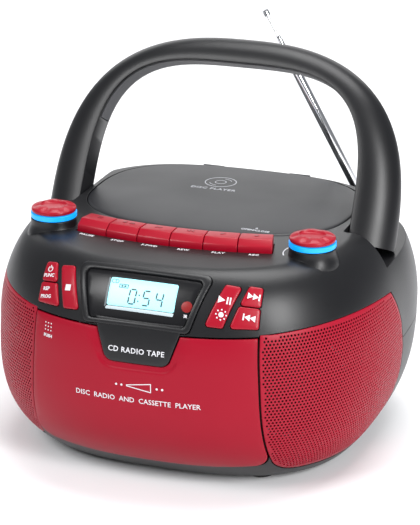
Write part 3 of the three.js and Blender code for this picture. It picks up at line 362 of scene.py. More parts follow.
def plate_bm(outline, mapf, top, bottom, edge=0.5, step=3.0, lines=(), height=None, holes=(), seg=2.0):
    """A curved plate: an outline filled, laid on a surface between two heights, with a rounded rim."""
    if area2(outline) < 0:
        outline = list(reversed(outline))
    outline = resample(outline, seg)
    height = height or (lambda a, b: 0.0)
    bm = bmesh.new()

    def put(p, h):
        return bm.verts.new(mapf(p[0], p[1], h) * MM)

    rim = [(edge, top), (edge * 0.45, top - edge * 0.18), (edge * 0.12, top - edge * 0.5), (0, top - edge),
           (0, bottom)]
    rings = []
    for d, h in rim:
        ring = inset(outline, d) if d else outline
        rings.append([put(p, h + (height(*p) if h > bottom else 0)) for p in ring])
    n = len(outline)
    for a, b in zip(rings, rings[1:]):
        for i in range(n):
            j = (i + 1) % n
            bm.faces.new((a[i], b[i], b[j], a[j]))
    verts, tris = fill(inset(outline, edge), step, lines, holes)
    vs = [put(p, top + height(p.x, p.y)) for p in verts]
    for t in tris:
        bm.faces.new([vs[i] for i in t])
    verts, tris = fill(outline, max(step, 4) if step else 0, (), holes)
    vs = [put(p, bottom) for p in verts]
    for t in tris:
        bm.faces.new([vs[i] for i in reversed(t)])
    for hole in holes:
        skin_rows(bm, [put(p, top + height(*p)) for p in hole], [put(p, bottom) for p in hole])
    loose = [v for v in bm.verts if not v.link_faces]
    bmesh.ops.delete(bm, geom=loose, context="VERTS")
    return bm


def prism_bm(outline, frm, to, axis="z", seg=None):
    """An outline drawn along an axis."""
    if area2(outline) < 0:
        outline = list(reversed(outline))
    if seg:
        outline = resample(outline, seg)
    pick = {"z": lambda a, b, c: (a, b, c), "x": lambda a, b, c: (c, a, b),
            "y": lambda a, b, c: (a, c, b)}[axis]
    bm = bmesh.new()
    lo = [bm.verts.new(Vector(pick(a, b, frm)) * MM) for a, b in outline]
    hi = [bm.verts.new(Vector(pick(a, b, to)) * MM) for a, b in outline]
    skin_rows(bm, lo, hi)
    bm.faces.new(list(reversed(lo)))
    bm.faces.new(hi)
    bmesh.ops.recalc_face_normals(bm, faces=bm.faces)
    return bm


def block_bm(x0, x1, y0, y1, z0, z1):
    return prism_bm([(x0, y0), (x1, y0), (x1, y1), (x0, y1)], z0, z1)


def rod_bm(axis, r, frm, to, centre, steps=48, end=None):
    bm = bmesh.new()
    bmesh.ops.create_cone(bm, cap_ends=True, segments=steps, radius1=r * MM, radius2=(end or r) * MM,
                          depth=(to - frm) * MM)
    turn = {"x": Matrix.Rotation(pi / 2, 4, "Y"), "y": Matrix.Rotation(-pi / 2, 4, "X"),
            "z": Matrix.Identity(4)}[axis]
    mid = (frm + to) / 2
    a, b = centre
    spot = {"x": (mid, a, b), "y": (a, mid, b), "z": (a, b, mid)}[axis]
    return place(bm, at(*spot) @ turn)


def temp(bm, mirror=False):
    if mirror:
        bm = bm.copy()
        bm.transform(Matrix.Scale(-1, 4, (1, 0, 0)))
        bmesh.ops.reverse_faces(bm, faces=bm.faces)
    bmesh.ops.recalc_face_normals(bm, faces=bm.faces)
    mesh = bpy.data.meshes.new("tool")
    bm.to_mesh(mesh)
    obj = bpy.data.objects.new("tool", mesh)
    bpy.context.scene.collection.objects.link(obj)
    return obj


def cut(bm, both=False):
    return "DIFFERENCE", bm, both


def join(bm, both=False):
    return "UNION", bm, both


def keep_in(bm, both=False):
    return "INTERSECT", bm, both


def boolean(base, tools):
    """Applies (operation, solid, also mirrored) steps to a solid and returns the result."""
    target = temp(base)
    used = [target]
    for op, bm, both in tools:
        for mirror in ((False, True) if both else (False,)):
            tool = temp(bm, mirror)
            used.append(tool)
            mod = target.modifiers.new("cut", "BOOLEAN")
            mod.operation, mod.object, mod.solver = op, tool, "MANIFOLD"
    deps = bpy.context.evaluated_depsgraph_get()
    out = bmesh.new()
    out.from_mesh(target.evaluated_get(deps).to_mesh())
    for o in used:
        mesh = o.data
        bpy.data.objects.remove(o)
        bpy.data.meshes.remove(mesh)
    return out


# ---------------------------------------------------------------- materials
def plastic(name, color, rough, bump=0.02, scale=900, spec=0.5, coat=0.0, edge=0.0, vary=0.06, metal=0.0):
    """Moulded plastic or metal: fine grain in the bump, slow drift in roughness and tone, eased edges."""
    mat = bpy.data.materials.new(name)
    mat.use_nodes = True
    nt = mat.node_tree
    b = nt.nodes["Principled BSDF"]
    b.inputs["Specular IOR Level"].default_value = spec
    b.inputs["Metallic"].default_value = metal
    b.inputs["Coat Weight"].default_value = coat
    b.inputs["Coat Roughness"].default_value = 0.06
    where = nt.nodes.new("ShaderNodeTexCoord")
    slow = nt.nodes.new("ShaderNodeTexNoise")
    slow.inputs["Scale"].default_value = 28
    slow.inputs["Detail"].default_value = 4
    nt.links.new(where.outputs["Object"], slow.inputs["Vector"])
    tone = nt.nodes.new("ShaderNodeMix")
    tone.data_type = "RGBA"
    tone.inputs[6].default_value = (*[c * (1 - vary) for c in color], 1)
    tone.inputs[7].default_value = (*[min(1, c * (1 + vary) + 0.001) for c in color], 1)
    nt.links.new(slow.outputs["Fac"], tone.inputs["Factor"])
    nt.links.new(tone.outputs[2], b.inputs["Base Color"])
    span = nt.nodes.new("ShaderNodeMapRange")
    span.inputs["To Min"].default_value = rough * 0.88
    span.inputs["To Max"].default_value = min(1, rough * 1.14)
    nt.links.new(slow.outputs["Fac"], span.inputs["Value"])
    nt.links.new(span.outputs["Result"], b.inputs["Roughness"])
    grain = nt.nodes.new("ShaderNodeTexNoise")
    grain.inputs["Scale"].default_value = scale
    grain.inputs["Detail"].default_value = 2
    nt.links.new(where.outputs["Object"], grain.inputs["Vector"])
    bumpy = nt.nodes.new("ShaderNodeBump")
    bumpy.inputs["Strength"].default_value = bump
    bumpy.inputs["Distance"].default_value = 0.0004
    nt.links.new(grain.outputs["Fac"], bumpy.inputs["Height"])
    if edge:
        ease = nt.nodes.new("ShaderNodeBevel")
        ease.samples = 4
        ease.inputs["Radius"].default_value = edge * MM
        nt.links.new(ease.outputs["Normal"], bumpy.inputs["Normal"])
    nt.links.new(bumpy.outputs["Normal"], b.inputs["Normal"])
    return mat


def brushed(name, color, rough, axis="Z"):
    mat = plastic(name, color, rough, bump=0.05, scale=500, metal=1.0, vary=0.04)
    nt = mat.node_tree
    stretch = nt.nodes.new("ShaderNodeMapping")
    stretch.inputs["Scale"].default_value = {"X": (0.05, 1, 1), "Y": (1, 0.05, 1), "Z": (1, 1, 0.05)}[axis]
    where = next(n for n in nt.nodes if n.type == "TEX_COORD")
    grain = [n for n in nt.nodes if n.type == "TEX_NOISE"][1]
    nt.links.new(where.outputs["Object"], stretch.inputs["Vector"])
    nt.links.new(stretch.outputs["Vector"], grain.inputs["Vector"])
    return mat


def glow(name, color, strength, rough=0.3):
    mat = plastic(name, color, rough, bump=0.0, vary=0.05)
    b = mat.node_tree.nodes["Principled BSDF"]
    b.inputs["Emission Color"].default_value = (*color, 1)
    b.inputs["Emission Strength"].default_value = strength
    return mat


BLACK = plastic("black_plastic", (0.0045, 0.0046, 0.0056), 0.36, bump=0.10, scale=1400, spec=0.38, edge=0.5)
INNER = plastic("inner_black", (0.005, 0.005, 0.006), 0.55, bump=0.08, spec=0.3)
GREY = plastic("grey_plastic", (0.0100, 0.0102, 0.0125), 0.42, bump=0.08, scale=1400, spec=0.40)
GRIP = plastic("grip_grey", (0.050, 0.051, 0.057), 0.52, bump=0.2, scale=1100, spec=0.4)
RED = plastic("red_plastic", (0.265, 0.0018, 0.014), 0.38, bump=0.03, spec=0.18, vary=0.03)
KEYRED = plastic("red_keys", (0.285, 0.0018, 0.013), 0.34, bump=0.03, spec=0.26, coat=0.04, vary=0.03)
MESH = plastic("red_mesh", (0.285, 0.0028, 0.017), 0.40, bump=0.06, scale=1800, spec=0.22, vary=0.04)
BLUE = glow("blue_ring", (0.0, 0.30, 0.85), 0.55)
GLASS = plastic("dark_window", (0.003, 0.003, 0.004), 0.28, bump=0.0, spec=0.35)
LCD = glow("screen", (0.30, 0.74, 0.84), 0.45, 0.35)
# pale strip under the screen: a painted reflection of light on the bezel's bottom slope, not a colour of the
# plastic
SCREEN_EDGE_REFLECTION = plastic("screen_edge_painted_reflection", (0.42, 0.50, 0.53), 0.4, bump=0.0)
# dark strip at the screen's left side: painted shade, a darker copy of the pale bottom strip's colour
SCREEN_SIDE_SHADE = plastic("screen_side_painted_shade", (0.10, 0.12, 0.13), 0.4, bump=0.0)
INK = plastic("dark_ink", (0.03, 0.06, 0.07), 0.5, bump=0.0)
WHITE = plastic("white_print", (0.62, 0.62, 0.65), 0.5, bump=0.02)
SILVER = plastic("silver_print", (0.42, 0.43, 0.46), 0.45, bump=0.02)
EYE = plastic("infrared_window", (0.20, 0.010, 0.010), 0.35, bump=0.0, spec=0.3)
STEEL = brushed("steel", (0.50, 0.50, 0.52), 0.34)
CHROME = brushed("chrome", (0.74, 0.75, 0.77), 0.14, "X")
RAISED = plastic("red_raised", (0.17, 0.002, 0.010), 0.35, bump=0.03)
PAPER = plastic("paper", (0.020, 0.017, 0.015), 0.85, bump=0.3, scale=700)
BOARD = plastic("board", (0.010, 0.085, 0.030), 0.45, bump=0.15, scale=300, vary=0.2)
RUBBER = plastic("rubber", (0.013, 0.013, 0.013), 0.8, bump=0.25, scale=1500)

# ---------------------------------------------------------------- outlines (mm)
GAP = 0.4
DOOR_TOP, DOOR_LOW, STRIP_Z, GRILLE_TOP = 105.5, 15.4, 11.2, 105.9
TONGUE = [(-19.3, 86.5), (19.3, 86.5), (27.6, 111.5), (-27.6, 111.5)]
BEZEL = [(-35, -17.6), (31, -17.6), (40.5, 18.5), (-44.5, 18.5)]
PANE = [(-32, -14.6), (28, -14.6), (35.5, 14.6), (-39.5, 14.6)]
INNER_BUTTON = [(39.5, -11.5), (50, -11), (57, 15), (47.5, 15)]
OUTER_LOW = [(53.5, -10.5), (69.6, -7.6), (69, 4.4), (57.2, 3.4)]
OUTER_HIGH = [(57.4, 4), (69, 5), (68.3, 17), (60.6, 16.6)]


def flipped(outline):
    return [(-a, b) for a, b in reversed(outline)]
BUTTONS = {"play": INNER_BUTTON, "previous": OUTER_LOW, "next": OUTER_HIGH, "stop": flipped(INNER_BUTTON),
           "program": flipped(OUTER_LOW), "function": flipped(OUTER_HIGH)}


def grown(outline, d):
    return inset(outline, -d)
def door_line(grow):
    lx, sag = 74.5 + grow, 3.5
    pts = [(-70 - grow, DOOR_TOP + grow), (-lx, DOOR_LOW + sag - grow)]
    pts += [(x * 37.25 / 2, DOOR_LOW + sag * (x / 4) ** 2 - grow) for x in range(-2, 3)]
    pts += [(lx, DOOR_LOW + sag - grow), (70 + grow, DOOR_TOP + grow)]
    return rounded(pts, [0, 10] + [0] * 5 + [10, 0], 8)


def grille_line(grow):
    """(y, z) of the grille's edges, from its front bottom round the rear to its front top."""
    pts = [(-FAR, STRIP_Z - grow), (2, STRIP_Z - grow)]
    rear = [(9, 26), (11.5, 45), (10.5, 64), (5, 82), (-3, 97), (-9, GRILLE_TOP)]
    pts += [(y + grow, z + (grow if z == GRILLE_TOP else 0)) for y, z in rear]
    for i in range(1, 13):
        s = i / 12
        pts.append((-9 - 101 * s, GRILLE_TOP + grow + 9.2 * s * (1 - s)))
    return pts + [(-FAR, GRILLE_TOP + grow)]


def grille_front_x(z, grow=0.0):
    return 70 + 2 * GAP - grow + 4.5 * (DOOR_TOP - z) / (DOOR_TOP - DOOR_LOW)


def grille_edge(grow):
    low = STRIP_Z - grow
    corners = [(grille_front_x(low, grow), low), (FAR, low), (FAR, FAR), (grille_front_x(FAR, grow), FAR)]
    return rounded(corners, [10, 0, 0, 0], 8)


def form_bm(d, around=200, low=22, high=26):
    """The housing's form, moved inwards by a distance."""
    levels = [GIRTH_Z + (BASE_Z - GIRTH_Z) * cos(pi / 2 * i / low) for i in range(low)]
    levels += [GIRTH_Z + (TOP_Z - GIRTH_Z) * sin(pi / 2 * i / high) ** (2 / DOME_CURVE)
               for i in range(high + 1)]
    rings = []
    for z in levels:
        share = (GIRTH_Z - z) / (GIRTH_Z - BASE_Z) if z < GIRTH_Z else -(z - GIRTH_Z) / (TOP_Z - GIRTH_Z)
        ring = []
        for i in range(around):
            x, y = plan(z, 2 * pi * i / around, d)
            ring.append((x, y, z + d * share))
        rings.append(ring)
    return grid_bm(rings)


def panel_prism(outline, frm=-30, to=30, seg=None):
    bm = prism_bm(outline, frm, to, "z", seg)
    m = Matrix(((1, 0, 0, 0), (0, P_UP.y, P_OUT.y, 0), (0, P_UP.z, P_OUT.z, 0), (0, 0, 0, 1)))
    return place(bm, Matrix.Translation(P_AT * MM) @ m)


# ---------------------------------------------------------------- housings
SPLIT_LOW, SPLIT_HIGH = 69.8, 70.2
KNOB = (83.8, -46.6)
LID_X, LID_Y, LID_CORNER, LID_AT = 86.3, 64.0, 2.7, (0.0, 33.5)
LEDGE_Z, RECESS_X, RECESS_Y = 119.0, 89.6, -3.0
PIVOT = (28.0, 134.5)
MAST = (67.0, 117.0, 121.0)
ROW_X, ROW_Y, ROW_R, PITCH, KEY_D, KEY_TOP = -2.5, 195.0, 256.0, 21.3, 15.5, 145.8
HINGES = (-30, 30)
COVER_X, COVER_LOW, COVER_HIGH = 72, 20, 60
BUTTON_GAP = 0.27


def key_slot():
    end = 6 * PITCH / 2 / ROW_R + GAP / ROW_R
    pts = []
    for side, r in ((1, ROW_R + 1.9), (-1, ROW_R - KEY_D - GAP)):
        for i in range(25):
            a = side * end * (2 * i / 24 - 1)
            pts.append((ROW_X + r * sin(a), ROW_Y - r * cos(a)))
    return prism_bm(pts, 123, FAR)


def recess(grow):
    x0, y0, z0 = RECESS_X - grow, RECESS_Y - grow, LEDGE_Z - grow
    return prism_bm(rounded([(x0, y0), (FAR, y0), (FAR, FAR), (x0, FAR)], [3, 0, 0, 0]), z0, FAR)


def channel(grow):
    return block_bm(-76 - grow, 76 + grow, 106 - grow, FAR, 114 - grow, FAR)


def round_box(x0, x1, z0, z1, r):
    return rounded([(x0, z0), (x1, z0), (x1, z1), (x0, z1)], r)


def hollow(thickness):
    return form_bm(thickness, 96, 10, 12)


def front_cuts():
    """The openings of both grilles and of the door."""
    edges = prism_bm(grille_edge(0.56), -FAR, FAR, "y")
    grille = boolean(prism_bm(grille_line(GAP), 0, FAR, "x"), [keep_in(edges)])
    return [cut(grille, True), cut(prism_bm(door_line(GAP), -FAR, -60, "y"))]


def upper_housing():
    lining = boolean(recess(WALL), [keep_in(form_bm(0.01))])
    back = boolean(channel(WALL), [keep_in(form_bm(0.02))])
    post = lathe_bm([(0, 100), (16.6, 100), (16.6, 134), (15.4, 137), (14.6, 139.2), (14.3, 141),
                     (14.3, 143.4), (13.9, 143.8), (0, 143.8)])
    post = boolean(place(post, at(*KNOB, 0)), [cut(hollow(WALL * 1.5))])
    lid_room = prism_bm(oval(LID_X + 0.6, LID_Y + 0.6, LID_CORNER, *LID_AT, 160), 127, FAR)
    steps = [join(lining, True), join(back), join(post, True),
             keep_in(block_bm(-FAR, FAR, -FAR, FAR, SPLIT_HIGH, 300)), *front_cuts(),
             cut(recess(0), True), cut(channel(0)), cut(key_slot()), cut(lid_room),
             cut(panel_prism(rounded(grown(BEZEL, GAP), 4.4)))]
    steps += [cut(panel_prism(rounded(grown(outline, BUTTON_GAP), 1.6))) for outline in BUTTONS.values()]
    steps += [cut(rod_bm("z", 3.4, 0, FAR, KNOB, 24), True), cut(rod_bm("x", 4.4, 60, FAR, PIVOT, 32), True),
              join(rod_bm("z", 6.6, 100, 115.3, MAST[:2], 48)), cut(rod_bm("z", 2.6, 104, FAR, MAST[:2], 24))]
    steps += [cut(block_bm(x - 8, x + 8, 93.5, 100.0, 134, FAR)) for x in HINGES]
    return boolean(boolean(form_bm(0), [cut(hollow(WALL))]), steps)


def base_housing():
    cover_room = round_box(-COVER_X - GAP, COVER_X + GAP, COVER_LOW - GAP, COVER_HIGH + GAP, 4)
    steps = [keep_in(block_bm(-FAR, FAR, -FAR, FAR, 0, SPLIT_LOW)), *front_cuts(),
             cut(prism_bm(cover_room, 60, FAR, "y")),
             cut(prism_bm(round_box(80.6, 103.4, 30.6, 45.4, 4), 60, FAR, "y"))]
    return boolean(boolean(form_bm(0), [cut(hollow(WALL))]), steps)


for name, bm in (("upper_housing", upper_housing()), ("base_housing", base_housing())):
    piece = make(name + "_skin", bm, "housing", BLACK, 28)
    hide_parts(name)

# ---------------------------------------------------------------- front: tongue, door, grilles
TONGUE_LINE = rounded(TONGUE, [6, 6, 0, 0], 8)
make("front_tongue", plate_bm(TONGUE_LINE, on_front, 0.85, -2.4, 0.6, 3), "housing", BLACK)


def door_outline():
    """The door with a notch along its top edge for the tongue."""
    edge = door_line(-0.35)
    notch = rounded(grown(TONGUE, GAP), [6.4, 6.4, 0, 0], 8)
    slope = (27.6 - 19.3) / 25.0
    half = 19.3 + (DOOR_TOP - 86.5) * slope + GAP * 1.05
    low = [p for p in notch if p[1] < 100]
    low.sort(key=lambda p: atan2(p[1] - 104, p[0]))
    # the outline runs from the top left down and round to the top right, then back along the top
    line = edge + [(half, DOOR_TOP)] + list(reversed(low)) + [(-half, DOOR_TOP)]
    return [(x, min(z, DOOR_TOP - 0.6)) for x, z in line]


def door_height(a, b):
    """A shallow step follows the tongue's outline."""
    d = edge_distance(TONGUE_LINE, np.array([[a, b]]))[0]
    t = min(1.0, max(0.0, (d - 3.4) / 1.5))
    return -0.9 * (1 - t * t * (3 - 2 * t))


def polyline(line, top):
    """The part of a closed line below a height, with points about 2 mm apart."""
    pts = [p for p in line if p[1] < top]
    k = max(range(len(pts)), key=lambda i: dist(pts[i - 1], pts[i]))
    pts = pts[k:] + pts[:k]
    out = []
    for a, b in zip(pts, pts[1:]):
        n = max(1, int(dist(a, b) / 2))
        out += [(a[0] + (b[0] - a[0]) * i / n, a[1] + (b[1] - a[1]) * i / n) for i in range(n)]
    return out + [pts[-1]]


STEP_LINES = [polyline(rounded(grown(TONGUE, d), [6 + d, 6 + d, 0, 0], 10), 103.5)
              for d in (3.2, 3.9, 4.6, 5.4)]
door_bm = plate_bm(door_outline(), on_front, 0.8, -1.7, 0.7, 3.2, height=door_height, lines=STEP_LINES)
door = make("cassette_door_cover", door_bm, "door", RED, 40)
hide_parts("cassette_door")


def arc_table(z, steps=720):
    """Distance round the right half of the housing at a height, and the angle it belongs to."""
    table = [(0.0, -pi / 2)]
    for k in range(1, steps + 1):
        angle = -pi / 2 + pi * k / steps
        table.append((table[-1][0] + dist(plan(z, table[-1][1]), plan(z, angle)), angle))
    return np.array(table).T


ARC_S, ARC_A = arc_table(70)

def on_side(s, z, h):
    angle = float(np.interp(s, ARC_S, ARC_A))
    x, y = plan(z, angle)
    e = 0.004
    p = Vector((x, y, z))
    x1, y1 = plan(z, angle + e)
    x2, y2 = plan(z + 0.5, angle)
    n = Vector((x1 - x, y1 - y, 0)).cross(Vector((x2 - x, y2 - y, 0.5))).normalized()
    return p + n * h


def arc_at(z, test):
    """Arc position at a height where test(x, y) first turns true, going rearwards."""
    lo, hi = 0.0, float(ARC_S[-1])
    for _ in range(40):
        mid = (lo + hi) / 2
        x, y = plan(z, float(np.interp(mid, ARC_S, ARC_A)))
        if test(x, y):
            hi = mid
        else:
            lo = mid
    return lo


def grille_outline():
    """The grille's edge as (distance round the housing, height), for the right side."""
    corner = [p for p in grille_edge(0) if p[0] < 100 and p[1] < 60]
    pts = [(arc_at(z, lambda a, b: a > x), z) for x, z in corner]
    pts.sort(key=lambda p: -p[1])
    edge = [(arc_at(z, lambda a, b: a > grille_front_x(z)), z) for z in np.arange(104, pts[0][1] + 1, -4)]
    rear = [(y, z) for y, z in resample(grille_line(0), 3.0) if y > -9.5 and z > STRIP_Z + 0.4]
    rear = [(arc_at(z, lambda a, b: b > y), z) for y, z in rear]
    top = [(y, z) for y, z in grille_line(0) if -112 < y < -9.6 and z > 100]
    top = [(arc_at(min(z, 112), lambda a, b: b > y), z) for y, z in top]
    first = arc_at(GRILLE_TOP + 0.6, lambda a, b: a > grille_front_x(GRILLE_TOP))
    top = [p for p in top if p[0] > first + 2] + [(first, GRILLE_TOP + 1.1)]
    return edge + pts + [(pts[-1][0] + 20, STRIP_Z), (rear[0][0] - 6, STRIP_Z)] + rear + top


HOLE_ACROSS, HOLE_UP, HOLE_R = 2.3, 1.95, 0.76


def grille_holes(outline):
    lo, hi = np.min(outline, 0), np.max(outline, 0)
    rows = np.arange(lo[1], hi[1], HOLE_UP)
    g = np.array([(s + HOLE_ACROSS / 2 * (j % 2), z) for j, z in enumerate(rows)
                  for s in np.arange(lo[0], hi[0], HOLE_ACROSS)])
    g = g[inside(outline, g)]
    g = g[edge_distance(outline, g) > 2.0]
    return [poly(6, x, z, HOLE_R) for x, z in g]


GRILLE = grille_outline()
GRILLE_HOLES = grille_holes(GRILLE)
for side, label in ((1, "right"), (-1, "left")):
    def lay(s, z, h, side=side):
        p = on_side(s, z, h)
        return Vector((p.x * side, p.y, p.z))
    bm = plate_bm(GRILLE, lay, 0.0, -0.9, 0.5, 0, holes=GRILLE_HOLES)
    piece = make(f"grille_{label}_sheet", bm, "housing", MESH, 40)
    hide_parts(f"grille_{label}")

# ---------------------------------------------------------------- front: display

def ring_plate(outer, inner, mapf, top, bottom, edge):
    """A frame between two outlines of like shape, with both rims rounded."""
    if area2(outer) < 0:
        outer = list(reversed(outer))
    outer = resample(outer, 2.0)
    inner = resample(inner if area2(inner) > 0 else list(reversed(inner)), 0.4)
    near = np.array(inner)
    mates = [tuple(near[np.argmin(np.hypot(*(near - np.array(p)).T))]) for p in outer]
    bm = bmesh.new()
    rise = [(0, bottom), (0, top - edge), (edge * 0.3, top - edge * 0.3), (edge, top)]
    stations = [(d, h, 0) for d, h in rise] + [(None, top, 0.5)] + [(d, h, 1) for d, h in reversed(rise)]
    rows = []
    for d, h, side in stations:
        row = []
        for p, q in zip(outer, mates):
            length = dist(p, q) or 1e-6
            t = 0.5 if d is None else (d / length if side == 0 else 1 - d / length)
            row.append(bm.verts.new(mapf(p[0] + (q[0] - p[0]) * t, p[1] + (q[1] - p[1]) * t, h) * MM))
        rows.append(row)
    n = len(outer)
    for a, b in zip(rows, rows[1:] + rows[:1]):
        for i in range(n):
            j = (i + 1) % n
            if len({a[i], a[j], b[j], b[i]}) == 4:
                bm.faces.new((a[i], a[j], b[j], b[i]))
    return bm


frame_bm = ring_plate(rounded(BEZEL, 4), rounded(PANE, 3), on_panel, 1.5, -2.4, 0.9)
bezel = make("display_frame", frame_bm, "housing", BLACK, 40)
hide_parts("display_bezel")
pane_bm = plate_bm(rounded(inset(PANE, 0.3), 2.8), on_panel, 0.0, -1.6, 0.3, 3)
pane = make("display_pane", pane_bm, "housing", GLASS)
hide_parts("display_window")
TILE_LOW = 0.02


def tile(name, outline, top, mat):
    """A thin plate on the display's pane."""
    bm = plate_bm(outline, on_panel, top, TILE_LOW, min(0.12, (top - TILE_LOW) * 0.5), 3.0)
    return make(name, bm, "housing", mat)


screen = tile("display_screen", round_box(-21.4, 20.8, -6.6, 10.2, 1.2), 0.30, LCD)
LOW_EDGE = [(-22.6, -8.8), (20.4, -9.0), (20.8, -6.9), (-21.2, -6.9)]
SIDE_EDGE = [(-23.0, -8.4), (-21.7, -6.9), (-21.7, 10.0), (-22.8, 10.0)]
# thin pale tile along the screen's bottom edge that carries the painted reflection
tile("display_screen_edge_painted_reflection", rounded(LOW_EDGE, 0.5), 0.22, SCREEN_EDGE_REFLECTION)
# thin dark tile along the screen's left side that carries the painted shade
tile("display_screen_side_painted_shade", rounded(SIDE_EDGE, 0.4), 0.20, SCREEN_SIDE_SHADE)
tile("display_sensor", poly(32, 28.0, -2.0, 3.3), 0.22, EYE)


def seven(digit, x, y, w, h, t):
    """Bars of a seven-segment figure, as slanted outlines."""
    lit = {"0": "abcdef", "5": "acdfg", "4": "bcfg"}[digit]
    g, m = t * 0.16, y + h / 2
    bars = {"a": (x, y + h, 0), "g": (x, m, 0), "d": (x, y, 0), "f": (x, m, 1), "b": (x + w, m, 1),
            "e": (x, y, 1), "c": (x + w, y, 1)}
    out = []
    for k in lit:
        bx, by, up = bars[k]
        n = h / 2 if up else w
        a, b, e = g + t * 0.1, n - g - t * 0.1, t / 2
        line = [(a, 0), (a + e, e), (b - e, e), (b, 0), (b - e, -e), (a + e, -e)]
        out.append([(bx - q, by + p) if up else (bx + p, by + q) for p, q in line])
    return [[(p + (q - y) * 0.06, q) for p, q in line] for line in out]


figures = []
for figure, left in (("0", -8.2), ("5", 0.6), ("4", 8.6)):
    figures += seven(figure, left, -4.6, 4.0, 8.6, 0.9)
figures += [bar(*spot) for spot in (
    (-2.0, -2.6, 0.8, 0.9), (-1.8, 1.0, 0.8, 0.9), (-12.4, 4.4, 5.8, 0.4), (-12.4, 6.4, 5.8, 0.4),
    (-15.1, 5.4, 0.4, 1.6), (-9.7, 5.4, 0.4, 1.6), (-13.4, 5.4, 1.3, 0.9), (-11.5, 5.4, 1.3, 0.9))]


def marks(name, outlines, mapf, h0, h1, body, mat):
    """Several thin printed shapes as one piece."""
    bm = bmesh.new()
    for outline in outlines:
        if area2(outline) < 0:
            outline = list(reversed(outline))
        pts = resample(outline, 1.5)
        verts, tris = fill(pts, 0)
        top = [bm.verts.new(mapf(p.x, p.y, h1) * MM) for p in verts]
        low = [bm.verts.new(mapf(p.x, p.y, h0) * MM) for p in verts]
        for t in tris:
            bm.faces.new([top[i] for i in t])
            bm.faces.new([low[i] for i in reversed(t)])
        skin_rows(bm, low[:len(pts)], top[:len(pts)])
    return make(name, bm, body, mat, 30, weld=0)


def lettering(text, x, y, size, spread=1.0, weight=0.0):
    """Outline triangles of a line of plain text centred on a point."""
    curve = bpy.data.curves.new("text", "FONT")
    curve.body, curve.size, curve.align_x, curve.align_y = text, size, "CENTER", "CENTER"
    curve.space_character, curve.offset, curve.resolution_u = spread, weight, 2
    obj = bpy.data.objects.new("text", curve)
    bpy.context.scene.collection.objects.link(obj)
    deps = bpy.context.evaluated_depsgraph_get()
    mesh = obj.evaluated_get(deps).to_mesh()
    pts = [(v.co.x + x, v.co.y + y) for v in mesh.vertices]
    faces = [tuple(p.vertices) for p in mesh.polygons]
    bpy.data.objects.remove(obj)
    bpy.data.curves.remove(curve)
    return pts, faces


def printed(name, parts, mapf, h, body, mat):
    """Lines of lettering as one thin piece, with its face at a height over a surface."""
    bm = bmesh.new()
    for pts, faces in parts:
        top = [bm.verts.new(mapf(a, b, h) * MM) for a, b in pts]
        for f in faces:
            try:
                bm.faces.new([top[i] for i in f])
            except ValueError:
                pass
    bmesh.ops.recalc_face_normals(bm, faces=bm.faces)
    geo = bmesh.ops.extrude_face_region(bm, geom=bm.faces[:])
    moved = [v for v in geo["geom"] if isinstance(v, bmesh.types.BMVert)]
    n = mapf(parts[0][0][0][0], parts[0][0][0][1], 1) - mapf(parts[0][0][0][0], parts[0][0][0][1], 0)
    bmesh.ops.translate(bm, verts=moved, vec=n * -0.12 * MM)
    return make(name, bm, body, mat, 30, weld=0)


def word(name, text, spot, size, mapf, h, body, mat=WHITE, spread=1.0, weight=0.08):
    printed(name, [lettering(text, *spot, size, spread, weight)], mapf, h, body, mat)


marks("display_figures", figures, on_panel, 0.29, 0.40, "housing", INK)
word("display_mode", "CD", (-18.4, 7.8), 3.6, on_panel, 0.40, "housing", INK, 1.0, 0.0)
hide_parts("lcd_module")
word("tongue_print", "CD RADIO TAPE", (0, 94.0), 4.5, on_front, 1.0, "housing", WHITE,
     1.08, 0.05)

# ---------------------------------------------------------------- front: push buttons and their marks
for label, outline in BUTTONS.items():
    bm = plate_bm(rounded(outline, 1.7), on_panel, 1.2, -2.4, 0.9, 2.2, seg=1.4)
    piece = make(f"button_{label}_cap", bm, f"button_{label}", KEYRED, 60)
    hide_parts(f"button_{label}")

RAYS = [bar(48.2 + 2.9 * cos(k * pi / 4), -3.2 + 2.9 * sin(k * pi / 4), 0.8, 0.8) for k in range(8)]
BUTTON_MARKS = {
    "play": [arrow(47.2, 5.4, 4.0, 4.2), bar(50.4, 5.4, 0.8, 4.2), bar(52.0, 5.4, 0.8, 4.2),
             poly(14, 48.2, -3.2, 1.5), *RAYS],
    "stop": [bar(-48.4, 1.2, 3.6, 3.6)],
    "next": [arrow(62.2, 10.6, 3.0, 3.8), arrow(65.2, 10.6, 3.0, 3.8), bar(67.1, 10.6, 0.8, 3.8)],
    "previous": [arrow(62.4, -2.0, -3.0, 3.8), arrow(65.4, -2.0, -3.0, 3.8), bar(60.5, -2.0, 0.8, 3.8)],
    "function": hoop(-64.0, 12.0, 1.8, 0.5, -4.2, 1.1, 14) + [bar(-64.0, 13.4, 0.5, 2.0)]}
for label, shapes in BUTTON_MARKS.items():
    marks(f"button_{label}_mark", shapes, on_panel, 1.16, 1.30, f"button_{label}", WHITE)
BUTTON_WORDS = {"function": [("FUNC", -64.0, 8.0)], "program": [("REP", -64.0, 0.0), ("PROG", -63.6, -4.6)]}
for label, words in BUTTON_WORDS.items():
    lines = [lettering(w, x, y, 2.9, 1.0, 0.08) for w, x, y in words]
    printed(f"button_{label}_word", lines, on_panel, 1.32, f"button_{label}", WHITE)
word("sensor_word", "IR", (28.0, -7.6), 2.6, on_panel, 0.12, "housing")
dots = [poly(8, -61.8 + 2.1 * i, 100.2 - 2.1 * j, 0.42) for i in range(3) for j in range(3)]
marks("door_dots", dots, on_front, 0.76, 0.90, "door", WHITE)
word("door_word", "PUSH", (-59.7, 92.6), 2.6, on_front, 0.95, "door")
symbol = [[(-6.0, 72.2), (9.6, 74.6), (9.6, 75.1), (-6.0, 72.7)],
          [(-6.0, 72.2), (9.6, 69.8), (9.6, 69.3), (-6.0, 71.7)], bar(9.4, 72.2, 0.5, 5.6)]
